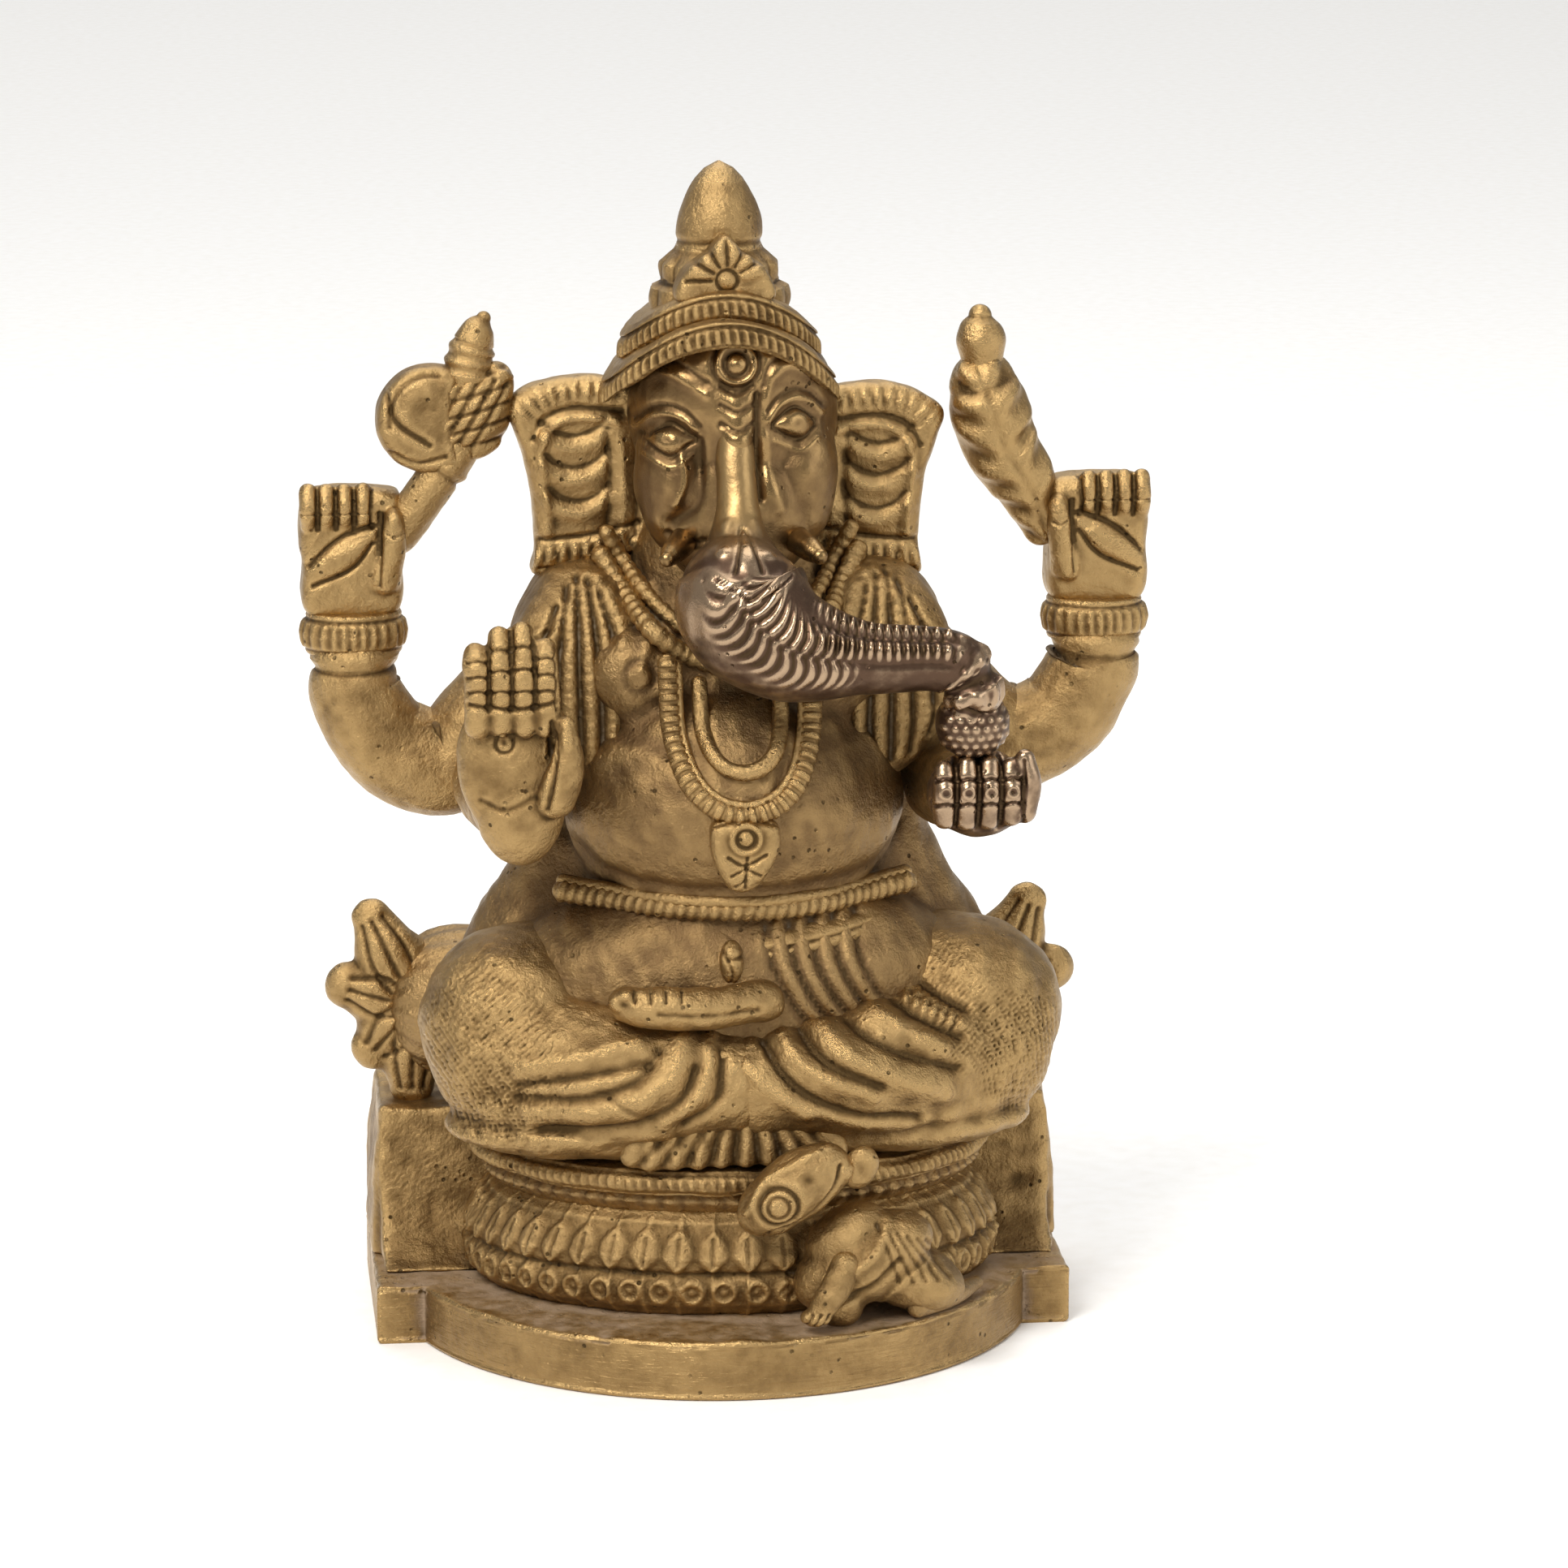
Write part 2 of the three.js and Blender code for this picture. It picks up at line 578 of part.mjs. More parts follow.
function blessingHand(grow) {
  const x = -FRONT_HAND_X;
  const y = PALM_FRONT_Y + PALM_THICKNESS / 2;
  const low = palmZ - PALM_HEIGHT / 2;
  const size = v(PALM_WIDTH / 2, PALM_THICKNESS / 2, PALM_HEIGHT / 2 + 1.4);
  const palm = egg(v(x, y, palmZ - 1), size, grow, { sides: 14 });
  const wrist = [v(x, y + 3, low - 1.4), v(x, y + 0.6, low + 2.4)];
  const heel = limb(wrist, [3, 3.4], grow, { sides: 10, steps: 2 });
  const fingers = [-1.5, -0.5, 0.5, 1.5].map((i) => {
    const fx = x + i * 2 * FINGER_RADIUS * 0.92;
    const reach = 8.6 - Math.abs(i) * 1.1;
    const points = [v(fx * 0.99, y, palmZ + 2), v(fx, y + 0.4, palmZ + 4 + reach)];
    return limb(points, [FINGER_RADIUS, FINGER_RADIUS - 0.15], grow, { sides: 8, steps: 1 });
  });
  const thumbLine = [v(x + 4, y, palmZ - 2.6), v(x + 4.6, y - 0.2, palmZ + 3.6)];
  const thumb = limb(thumbLine, [1.7, 1.2], grow, { sides: 8, steps: 2 });
  return join(palm, heel, ...fingers, thumb);
}

function sweetHand(grow) {
  const y = PALM_FRONT_Y + 6;
  const z = palmZ - 5;
  const cup = egg(v(FRONT_HAND_X, y, z), v(4.9, 3.6, 4.2), grow, { sides: 14 });
  const fingers = [-1.5, -0.5, 0.5, 1.5].map((i) => {
    const fx = FRONT_HAND_X - 0.6 + i * 2.1;
    return limb([v(fx, y - 2.6, z - 2), v(fx, y - 2.8, z + 2.4)], [1.2, 1.1], grow, { sides: 8, steps: 1 });
  });
  const thumbLine = [v(FRONT_HAND_X + 4.2, y - 0.6, z - 2), v(FRONT_HAND_X + 4.6, y - 0.8, z + 3)];
  const thumb = limb(thumbLine, [1.3, 1.1], grow, { sides: 8, steps: 1 });
  return join(cup, ...fingers, thumb);
}

function sweet(grow) {
  const at = v(FRONT_HAND_X - 0.4, PALM_FRONT_Y + 5.6, palmZ + 1.6);
  return egg(at, v(SWEET_RADIUS, SWEET_RADIUS, SWEET_RADIUS), grow, { sides: 12 });
}

// ---- Head -----------------------------------------------------------------------------------

function head(grow) {
  const skull = v(HEAD_HALF_WIDTH, HEAD_HALF_DEPTH, 10.6);
  const jaw = v(HEAD_HALF_WIDTH - 2, HEAD_HALF_DEPTH - 2.4, 8.6);
  const cranium = egg(v(0.4, 2.2, browZ - 0.4), skull, grow, { sides: 20 });
  const muzzle = egg(v(0.4, -1, browZ - 9.6), jaw, grow, { sides: 18 });
  return join(cranium, muzzle);
}

const trunkEnd = v(FRONT_HAND_X - 0.4, PALM_FRONT_Y + 4.4, palmZ + 5);

function trunk(grow) {
  const r = TRUNK_RADIUS;
  const points = [
    v(0.2, -6, browZ - 4),
    v(0, -8.8, browZ - 10),
    v(-0.4, -12.4, browZ - 15.6),
    v(4, -14.6, browZ - 19.4),
    v(12, -15, browZ - 20),
    v(trunkEnd.x - 2, trunkEnd.y, trunkEnd.z + 3.6),
    trunkEnd,
  ];
  return limb(points, [r - 3, r - 1.4, r, r - 1, r - 3.4, r - 4, r - 4.2], grow, { sides: 14, steps: 14 });
}

function tusk(side, grow) {
  const points = [v(0.4 + side * 5.6, -5, browZ - 11.6), v(0.4 + side * 6.8, -8.2, browZ - 12.6)];
  return limb(points, [1.3, 1.1], grow, { sides: 8, steps: 2 });
}

// Its outer corner runs out to the axe's socket on the right, and to the bud's stem on the left.
function ear(side, grow) {
  const reach = side > 0 ? gripX - 8.8 : -socketX - 2.6;
  const top = browZ + 3.4 - (side > 0 ? 1.2 : 0);
  const low = shoulderZ + 2.2 - (side > 0 ? 0.6 : 0);
  const face = outline(
    [side * 7, top - 0.8],
    [side * 15, top],
    [side * reach, top - 2.4],
    [side * (reach - 0.8), top - 5.2],
    [side * 20, top - 9],
    [side * 18.8, low + 3.4],
    [side * 19, low],
    [side * 8, low + 1],
  );
  return slab(face, EAR_Y - EAR_THICKNESS / 2, EAR_THICKNESS, grow, 1);
}

// ---- Crown ----------------------------------------------------------------------------------

// A band round the head that arches up over the brow and hangs lower at the temples.
function crownBand(z, radius, height, grow) {
  const profile = [[0.95, 0], [1, height * 0.3], [1, height * 0.75], [0.93, height]];
  const flat = drum(v(0, 0, 0), radius, radius * 0.9, profile, grow, 28);
  return flat.warp((p) => {
    p[2] += z - BRIM_DROOP * (p[0] / BRIM_RADIUS) ** 2 - (0.08 * p[1]);
    p[0] += CROWN_X;
    p[1] += 2.4;
  });
}

const crownBrim = (grow) => crownBand(brimZ, BRIM_RADIUS, 2.4, grow);
const crownHoop = (grow) => crownBand(brimZ + 2.4 + JOINT_GAP, BRIM_RADIUS - 1.8, 2.4, grow);

function crownTier(grow) {
  const h = finialZ - tierZ;
  const profile = [[1, -1.6], [1, 0.3 * h], [0.86, 0.4 * h], [0.82, 0.8 * h], [0.62, h]];
  return drum(v(CROWN_X, 2.4, tierZ), TIER_RADIUS, TIER_RADIUS * 0.92, profile, grow, 20);
}

function crownPlaque(grow) {
  const edge = [[-3.8, 0], [3.8, 0], [3.2, 2.4], [0, 5.8], [-3.2, 2.4]];
  const face = outline(...edge.map(([x, up]) => [CROWN_X + x, tierZ + up]));
  return slab(face, 2.4 - TIER_RADIUS - 0.2, 3.4, grow, 0.5);
}

function crownFinial(grow) {
  const h = FINIAL_HEIGHT;
  const profile = [[0.96, 0.2], [1, 0.2 * h], [0.86, 0.5 * h], [0.58, 0.8 * h], [0.26, h]];
  return drum(v(CROWN_X, 2.4, finialZ), FINIAL_RADIUS, FINIAL_RADIUS, profile, grow, 18);
}

// ---- Putting it together --------------------------------------------------------------------

const brass = new THREE.MeshStandardMaterial({ color: 0xa9824a, roughness: 0.42, metalness: 1 });
const wornBrass = new THREE.MeshStandardMaterial({ color: 0xc29c5c, roughness: 0.34, metalness: 1 });
const dullBrass = new THREE.MeshStandardMaterial({ color: 0x8a6a42, roughness: 0.55, metalness: 1 });

const RIGHT = -1;
const LEFT = 1;

// In order of size: a mass is cut back from every one before it, by the joining gap.
const masses = [
  ["plinth", plinth, brass],
  ["lotus_ring", lotusRing, brass],
  ["seat_ledge", seatLedge, dullBrass],
  ["seat_cushion", seatCushion, brass],
  ["throne_block", throneBlock, wornBrass],
  ["torso", torso, brass],
  ["head", head, dullBrass],
  ["trunk", trunk, dullBrass],
  ["right_leg", (g) => leg(RIGHT, g), wornBrass],
  ["left_leg", (g) => leg(LEFT, g), wornBrass],
  ["blessing_hand", blessingHand, wornBrass],
  ["sweet_hand", sweetHand, dullBrass],
  ["sweet", sweet, dullBrass],
  ["blessing_arm", (g) => frontArm(RIGHT, g), brass],
  ["sweet_arm", (g) => frontArm(LEFT, g), brass],
  ["axe_hand", (g) => rearHand(RIGHT, g), wornBrass],
  ["bud_hand", (g) => rearHand(LEFT, g), wornBrass],
  ["axe_bracelet", (g) => rearBracelet(RIGHT, g), wornBrass],
  ["bud_bracelet", (g) => rearBracelet(LEFT, g), wornBrass],
  ["axe_arm", (g) => rearArm(RIGHT, g), brass],
  ["bud_arm", (g) => rearArm(LEFT, g), brass],
  ["axe_socket", axeSocket, wornBrass],
  ["axe_blade", axeBlade, wornBrass],
  ["axe_spike", axeSpike, wornBrass],
  ["axe_haft", axeHaft, brass],
  ["bud_stem", budStem, wornBrass],
  ["bud_tip", budTip, wornBrass],
  ["crown_brim", crownBrim, brass],
  ["crown_hoop", crownHoop, brass],
  ["crown_finial", crownFinial, wornBrass],
  ["crown_tier", crownTier, brass],
  ["crown_plaque", crownPlaque, wornBrass],
  ["right_tusk", (g) => tusk(RIGHT, g), dullBrass],
  ["left_tusk", (g) => tusk(LEFT, g), dullBrass],
  ["right_shoulder_locks", (g) => shoulderLocks(RIGHT, g), brass],
  ["left_shoulder_locks", (g) => shoulderLocks(LEFT, g), brass],
  ["right_ear", (g) => ear(RIGHT, g), wornBrass],
  ["left_ear", (g) => ear(LEFT, g), wornBrass],
  ["left_foot", leftFoot, wornBrass],
  ["front_pleats", frontPleats, brass],
  ["bolster", bolster, dullBrass],
  ["right_bolster_end", (g) => bolsterEnd(RIGHT, g), wornBrass],
  ["left_bolster_end", (g) => bolsterEnd(LEFT, g), wornBrass],
  ["pendant", pendant, wornBrass],
  ["necklace_outer", necklaceOuter, wornBrass],
  ["necklace_inner", necklaceInner, wornBrass],
  ["neck_collar", neckCollar, brass],
  ["belt", belt, brass],
  ["waist_sash", waistSash, brass],
  ["mouse_body", mouseBody, brass],
  ["mouse_head", mouseHead, wornBrass],
  ["mouse_ear", mouseEar, brass],
  ["mouse_paw", mousePaw, brass],
  ["mouse_tail", mouseTail, dullBrass],
];

function overlapping(a, b) {
  return a.max.every((top, i) => top > b.min[i]) && b.max.every((top, i) => top > a.min[i]);
}

// The largest piece that is left of a mass after its neighbours are cut out of it.
function largest(whole) {
  return whole.decompose().sort((a, b) => b.volume() - a.volume())[0];
}

function meshOf(name, body, material) {
  const { vertProperties, triVerts } = body.getMesh();
  const geometry = new THREE.BufferGeometry();
  geometry.setAttribute("position", new THREE.BufferAttribute(vertProperties, 3));
  geometry.setIndex(new THREE.BufferAttribute(triVerts, 1));
  geometry.computeVertexNormals();
  const mesh = new THREE.Mesh(geometry, material);
  mesh.name = name;
  return mesh;
}

const statue = new THREE.Group();
const grown = [];
for (const [name, shape, material] of masses) {
  let body = shape(0);
  for (const neighbour of grown) {
    if (overlapping(body.boundingBox(), neighbour.boundingBox())) body = body.subtract(neighbour);
  }
  statue.add(meshOf(name, largest(body), material));
  grown.push(shape(JOINT_GAP));
}

export default statue;
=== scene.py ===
import math

import bpy
import numpy as np
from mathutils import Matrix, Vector


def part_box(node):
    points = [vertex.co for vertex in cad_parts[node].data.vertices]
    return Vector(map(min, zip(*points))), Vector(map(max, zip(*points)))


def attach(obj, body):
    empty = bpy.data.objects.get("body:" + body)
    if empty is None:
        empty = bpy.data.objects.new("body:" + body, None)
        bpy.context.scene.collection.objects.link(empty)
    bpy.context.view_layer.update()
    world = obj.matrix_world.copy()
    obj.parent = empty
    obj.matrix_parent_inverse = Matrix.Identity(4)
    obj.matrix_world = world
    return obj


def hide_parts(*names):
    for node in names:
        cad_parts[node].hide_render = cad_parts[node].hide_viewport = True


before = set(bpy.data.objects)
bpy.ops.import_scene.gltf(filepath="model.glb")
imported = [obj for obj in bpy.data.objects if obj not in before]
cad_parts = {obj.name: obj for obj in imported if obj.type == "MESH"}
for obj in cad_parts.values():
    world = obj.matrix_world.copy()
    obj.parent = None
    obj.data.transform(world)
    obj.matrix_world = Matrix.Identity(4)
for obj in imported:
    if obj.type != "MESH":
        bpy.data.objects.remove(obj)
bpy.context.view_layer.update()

bl_info = {
    "name": "Seated Brass Figurine",
    "version": (1, 0, 0),
    "blender": (4, 5, 0),
    "location": "View3D > Sidebar > Figurine",
    "description": "Models a small lost-wax brass figurine, mass by mass, over its CAD frame",
    "category": "Add Mesh",
}

MM = 0.001  # shapes are worked out in millimetres and put into their meshes in metres
TURN = 2 * math.pi
CAST_SOFTNESS = 0.72  # the share of a mark's height that is left after casting and years of rubbing

# Cells, in millimetres, at which small wax masses are fused: the finer the marks, the smaller the cell.
FINE_CELL, HAND_CELL, EAR_CELL, HEAD_CELL, FOLD_CELL = 0.15, 0.185, 0.19, 0.205, 0.23

# Sizes of the metal's skin, in millimetres: how far apart its clouds, stains, specks and pits lie.
CLOUD, PITTED_PATCH, STAIN, SPECK, PIT, SAND, FILE_STROKE = 11, 4.5, 3.6, 1.5, 1.25, 0.42, 0.3
BUMP_DEPTH = 0.24  # the depth of the skin's grain, in millimetres, drawn deep enough to show


# ---- Places from the frame ------------------------------------------------------------------


def span(node):
    """Lowest and highest corner of a CAD node, in millimetres."""
    low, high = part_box(node)
    return np.array(low) * 1000, np.array(high) * 1000


def mid(node):
    """The middle of a CAD node's box."""
    low, high = span(node)
    return (low + high) / 2


def by(node, *points):
    """Points given as offsets from the middle of a node; columns after the third stay as they are."""
    shifted = np.array(points, float)
    shifted[:, :3] += mid(node)
    return shifted


def on(node, *points):
    """Points of the front view (x, z), given as offsets from the middle of a node."""
    return np.array(points, float) + mid(node)[[0, 2]]


# ---- Surfaces: (vertices, triangles) --------------------------------------------------------


def spline(points, step, wrap=False):
    """A Catmull-Rom curve through the points, then resampled at even steps of its length; wrap closes it.

    Each stretch is the cubic whose slope at a point is half the way from its neighbour before to
    its neighbour after. Columns past the third, such as a radius, are carried along.
    """
    p = np.asarray(points, float)
    p = np.vstack([p[-1], p, p[:2]] if wrap else [2 * p[0] - p[1], p, 2 * p[-1] - p[-2]])
    t = np.linspace(0, len(p) - 3, 30 * (len(p) - 3) + 1)
    i = np.minimum(t.astype(int), len(p) - 4)
    u = (t - i)[:, None]
    a, b, c, d = p[i], p[i + 1], p[i + 2], p[i + 3]
    q = b + 0.5 * (c - a) * u + (
        a - 2.5 * b + 2 * c - 0.5 * d
    ) * u**2 + 0.5 * (3 * b - a - 3 * c + d) * u**3
    s = np.append(0, np.cumsum(np.linalg.norm(np.diff(q[:, :3], axis=0), axis=1)))
    w = np.linspace(0, s[-1], max(3, int(s[-1] / step) + 1))
    return np.stack([np.interp(w, s, column) for column in q.T], 1), w


def closed(rings):
    """A closed surface from rings of points (rows x columns x 3), with a pole in each end ring.

    Each cell of the grid is cut into two triangles, and all of them are turned over if the volume
    that they enclose, a sixth of the sum of their triple products, comes out negative.
    """
    rows, cols = rings.shape[:2]
    verts = np.concatenate([rings.reshape(-1, 3), rings[0].mean(0)[None], rings[-1].mean(0)[None]])
    j = np.arange(cols)
    k = (j + 1) % cols
    i = np.arange(rows - 1)[:, None] * cols
    a, b, c, d = (x.ravel() for x in (i + j, i + k, i + cols + k, i + cols + j))
    top = (rows - 1) * cols
    low = np.stack([k, j, np.full(cols, rows * cols)], 1)
    high = np.stack([j + top, k + top, np.full(cols, rows * cols + 1)], 1)
    tris = np.concatenate([np.stack([a, b, c], 1), np.stack([a, c, d], 1), low, high])
    p, q, r = (verts[tris[:, n]] for n in range(3))
    if np.einsum("ij,ij->", p, np.cross(q, r)) < 0:
        tris = tris[:, ::-1]
    return verts, tris


def tube(points, step=0.5, around=36, relief=None, flat=1.0, ref=(0, -1, 0)):
    """A round limb along a curve of (x, y, z, radius), its ends closed by half-spheres.

    A ring stands square to the curve at each step. Angle 0 looks along ref, and relief(s, angle)
    is added to the radius, with s the length run. flat squeezes the ring along ref.
    """
    line, s = spline(points, step)
    tangent = np.gradient(line[:, :3], axis=0)
    tangent /= np.linalg.norm(tangent, axis=1)[:, None]
    lean = np.radians(np.linspace(84, 0, 9))
    first, last = line[:1], line[-1:]
    head = first[:, :3] - tangent[:1] * first[:, 3:] * np.sin(lean)[:, None]
    tail = last[:, :3] + tangent[-1:] * last[:, 3:] * np.sin(lean[::-1])[:, None]
    centre = np.concatenate([head[:-1], line[:, :3], tail[1:]])
    radius = np.concatenate(
        [(first[:, 3] * np.cos(lean))[:-1], line[:, 3], (last[:, 3] * np.cos(lean[::-1]))[1:]]
    )
    t = np.concatenate([np.repeat(tangent[:1], 8, 0), tangent, np.repeat(tangent[-1:], 8, 0)])
    run = np.concatenate([-first[0, 3] * np.sin(lean)[:-1], s, s[-1] + last[0, 3] * np.sin(lean[::-1])[1:]])
    n = np.asarray(ref, float) - t * (t @ np.asarray(ref, float))[:, None]
    n /= np.linalg.norm(n, axis=1)[:, None]
    side = np.cross(t, n)
    angle = np.linspace(0, TURN, around, endpoint=False)
    r = np.repeat(radius[:, None], around, 1)
    if relief is not None:
        r = r + relief(
            run[:, None], np.where(angle > math.pi, angle - TURN, angle)[None],
        ) * np.clip(r, 0, 1)
    ring = n[:, None] * (flat * np.cos(angle))[None, :, None] + side[:, None] * np.sin(angle)[None, :, None]
    return closed(centre[:, None] + ring * r[..., None])


def egg(at, radii, tilt=0.0, count=40):
    """An ellipsoid: rings whose radius is the cosine of the latitude. tilt turns it about Y."""
    lat = np.linspace(-math.pi / 2 + 0.05, math.pi / 2 - 0.05, count)[:, None]
    lon = np.linspace(0, TURN, 2 * count, endpoint=False)[None]
    x, y = np.cos(lat) * np.cos(lon) * radii[0], np.cos(lat) * np.sin(lon) * radii[1]
    z = np.sin(lat) * radii[2] + 0 * lon
    c, s = math.cos(tilt), math.sin(tilt)
    return closed(np.stack([at[0] + c * x + s * z, at[1] + y, at[2] - s * x + c * z], -1))


def turned(at, half, profile, step=0.25, around=720, relief=None):
    """An oval lathe piece: at each height the oval's two half-widths are times the profile's share.

    profile is (share, height over at). relief(w, z), with w the length round the rim from the
    front, is added outward, and both ends are closed with flat discs.
    """
    p = np.array(profile, float)
    flatp = np.column_stack([p[:, 0] * half[0], 0 * p[:, 0], p[:, 1]])
    s = np.append(0, np.cumsum(np.linalg.norm(np.diff(flatp, axis=0), axis=1)))
    disc = np.repeat(np.minimum(p[:-1, 0], p[1:, 0]) < 0.5, 2)  # the flat discs need only a few rings
    density = np.column_stack([s[:-1], s[1:]]).ravel(), np.where(disc, 0.1, 1.0) / step
    fine = np.linspace(0, s[-1], 4000)
    rings = np.cumsum(np.interp(fine, *density)) * (fine[1] - fine[0])
    w = np.interp(np.linspace(rings[0], rings[-1], int(rings[-1]) + 4), rings, fine)
    share, z = np.interp(w, s, p[:, 0])[:, None], np.interp(w, s, p[:, 1])[:, None]
    angle = np.linspace(0, TURN, around, endpoint=False)[None]
    turn = np.where(angle > math.pi, angle - TURN, angle)
    out = relief(turn * half[0], z) * np.clip(share * 4 - 1, 0, 1) if relief is not None else 0
    x = at[0] + (share * half[0] + out) * np.sin(angle)
    y = at[1] - (share * half[1] + out) * np.cos(angle)
    return closed(np.stack([x, y, at[2] + z + 0 * angle], -1))


def pad(corners, back, front, edge=1.0, count=160):
    """A thick plate with rounded rims, standing in the XZ plane, from the corners of its outline.

    The outline is a closed Catmull-Rom curve. It shrinks towards its own middle at the rims, along
    a quarter circle of the edge's radius, and then to a small ring at the middle of each face.
    """
    p = np.asarray(corners, float)
    loop, s = spline(np.column_stack([p[:, 0], 0 * p[:, 0], p[:, 1]]), 0.1, wrap=True)
    w = np.linspace(0, s[-1], count, endpoint=False)
    ring = np.stack([np.interp(w, s, loop[:, 0]), np.interp(w, s, loop[:, 2])], 1)
    centre = ring.mean(0)
    reach = np.linalg.norm(ring - centre, axis=1).mean()
    lean = np.linspace(0, math.pi / 2, 6)
    inset = np.concatenate(
        [
            [0.1, 0.4, 0.7], 1 - edge / reach * (1 - np.sin(lean)), 1 - edge / reach * (1 - np.cos(lean)),
            [0.7, 0.4, 0.1],
        ]
    )
    y = np.concatenate(
        [[back] * 3, back - edge * (1 - np.cos(lean)), front + edge * (1 - np.sin(lean)), [front] * 3]
    )
    flatring = centre + (ring - centre)[None] * inset[:, None, None]
    return closed(np.stack([flatring[..., 0], np.repeat(y[:, None], count, 1), flatring[..., 1]], -1))


def together(*shells):
    """Several surfaces as one list of vertices and triangles."""
    starts = np.cumsum([0] + [len(v) for v, _ in shells])
    return np.concatenate([v for v, _ in shells]), np.concatenate(
        [f + n for (_, f), n in zip(shells, starts)]
    )


def around_mean(values, tris, count):
    """Each vertex's mean over its neighbours: sums over triangle corners, divided by their number."""
    total = np.zeros((count, values.shape[1]))
    hits = 2 * np.bincount(tris.ravel(), minlength=count).astype(float)
    for a, b, c in ((0, 1, 2), (1, 2, 0), (2, 0, 1)):
        pair = values[tris[:, b]] + values[tris[:, c]]
        for k in range(values.shape[1]):
            total[:, k] += np.bincount(tris[:, a], weights=pair[:, k], minlength=count)
    return total / np.maximum(hits, 1)[:, None]


def relaxed(shell, rounds):
    """The surface with each vertex moved half-way to the mean of its neighbours, over and over."""
    verts, tris = shell
    for _ in range(rounds):
        verts = 0.5 * verts + 0.5 * around_mean(verts, tris, len(verts))
    return verts, tris


def normals(verts, tris):
    """Unit normals at the vertices: the triangles' cross products summed at their corners."""
    cross = np.cross(verts[tris[:, 1]] - verts[tris[:, 0]], verts[tris[:, 2]] - verts[tris[:, 0]])
    total = np.zeros_like(verts)
    for corner in range(3):
        for k in range(3):
            total[:, k] += np.bincount(tris[:, corner], weights=cross[:, k], minlength=len(verts))
    return total / np.maximum(np.linalg.norm(total, axis=1), 1e-12)[:, None]


def fused(voxel, rounds, *shells):
    """Overlapping surfaces as one skin, as wax masses are pressed together and smoothed over."""
    verts, tris = together(*shells)
    mesh = bpy.data.meshes.new("wax")
    mesh.from_pydata(verts.tolist(), [], tris.tolist())
    lump = bpy.data.objects.new("wax", mesh)
    bpy.context.scene.collection.objects.link(lump)
    melt = lump.modifiers.new("melt", "REMESH")
    melt.mode, melt.voxel_size = "VOXEL", voxel
    skin = lump.evaluated_get(bpy.context.evaluated_depsgraph_get()).to_mesh()
    co = np.empty(len(skin.vertices) * 3)
    skin.vertices.foreach_get("co", co)
    skin.calc_loop_triangles()
    faces = np.empty(len(skin.loop_triangles) * 3, int)
    skin.loop_triangles.foreach_get("vertices", faces)
    bpy.data.objects.remove(lump)
    bpy.data.meshes.remove(mesh)
    return relaxed((co.reshape(-1, 3), faces.reshape(-1, 3)), rounds)


# ---- Marks that a chaser cuts or raises on the front ------------------------------------------


def beside(verts, path, reach):
    """The vertices within reach of a path on the front view, their distance from it and place along it."""
    p = np.asarray(path, float)
    line, s = spline(np.column_stack([p[:, 0], 0 * p[:, 0], p[:, 1]]), 0.2)
    line = line[:, [0, 2]]
    xz = verts[:, [0, 2]]
    near = np.flatnonzero(((xz > line.min(0) - reach) & (xz < line.max(0) + reach)).all(1))
    gap, along = np.empty(len(near)), np.empty(len(near))
    for start in range(0, len(near), 8000):
        part = slice(start, start + 8000)
        d = ((xz[near[part], None] - line[None]) ** 2).sum(2)
        k = d.argmin(1)
        gap[part], along[part] = np.sqrt(d[np.arange(len(k)), k]), s[k]
    return near, gap, along


def line(path, width, height, pitch=0.0):
    """A rib (height over 0) or groove (under 0), a bell across its path; pitch cuts it into ticks."""

    def push(verts):
        near, gap, along = beside(verts, path, 3 * width)
        out = np.zeros(len(verts))
        bell = np.exp(-((gap / width) ** 2)) * height
        out[near] = bell * (0.45 + 0.55 * np.cos(TURN * along / pitch)) if pitch else bell
        return out

    return push


def spot(centre, half, height, power=2.0, tilt=0.0):
    """A raised or sunk oval: a bell of the distance from its centre, measured in its half-widths."""

    def push(verts):
        d = verts[:, [0, 2]] - centre
        c, s = math.cos(tilt), math.sin(tilt)
        q = np.hypot((c * d[:, 0] + s * d[:, 1]) / half[0], (c * d[:, 1] - s * d[:, 0]) / half[1])
        return height * np.exp(-np.minimum(q, 6) ** power)

    return push


def hoop(centre, radius, width, height):
    """A ring: a bell of the distance from a circle."""

    def push(verts):
        d = np.hypot(*(verts[:, [0, 2]] - centre).T)
        return height * np.exp(-(((d - radius) / width) ** 2))

    return push


def punched(centre, half, pitch, depth, tilt=0.6):
    """Cross-hatching by a punch: two sets of lines, cut only inside an oval that fades at its rim."""

    def push(verts):
        d = verts[:, [0, 2]] - centre
        inside = 1 / (1 + np.exp(9 * (np.hypot(d[:, 0] / half[0], d[:, 1] / half[1]) - 1)))
        u = d[:, 0] * math.cos(tilt) + d[:, 1] * math.sin(tilt)
        w = d[:, 1] * math.cos(tilt) - d[:, 0] * math.sin(tilt)
        return -depth * inside * (np.cos(TURN * u / pitch) ** 8 + np.cos(TURN * w / pitch) ** 8)

    return push


def wobble(verts, size, amount, seed):
    """A hand-made unevenness: the mean of twelve plane waves of about one length, in seeded directions."""
    rng = np.random.default_rng(seed)
    way = rng.normal(size=(12, 3))
    way *= (TURN / size * rng.uniform(0.6, 1.5, 12) / np.linalg.norm(way, axis=1))[:, None]
    return amount * np.sin(verts @ way.T + rng.uniform(0, TURN, 12)).mean(1) * 1.7


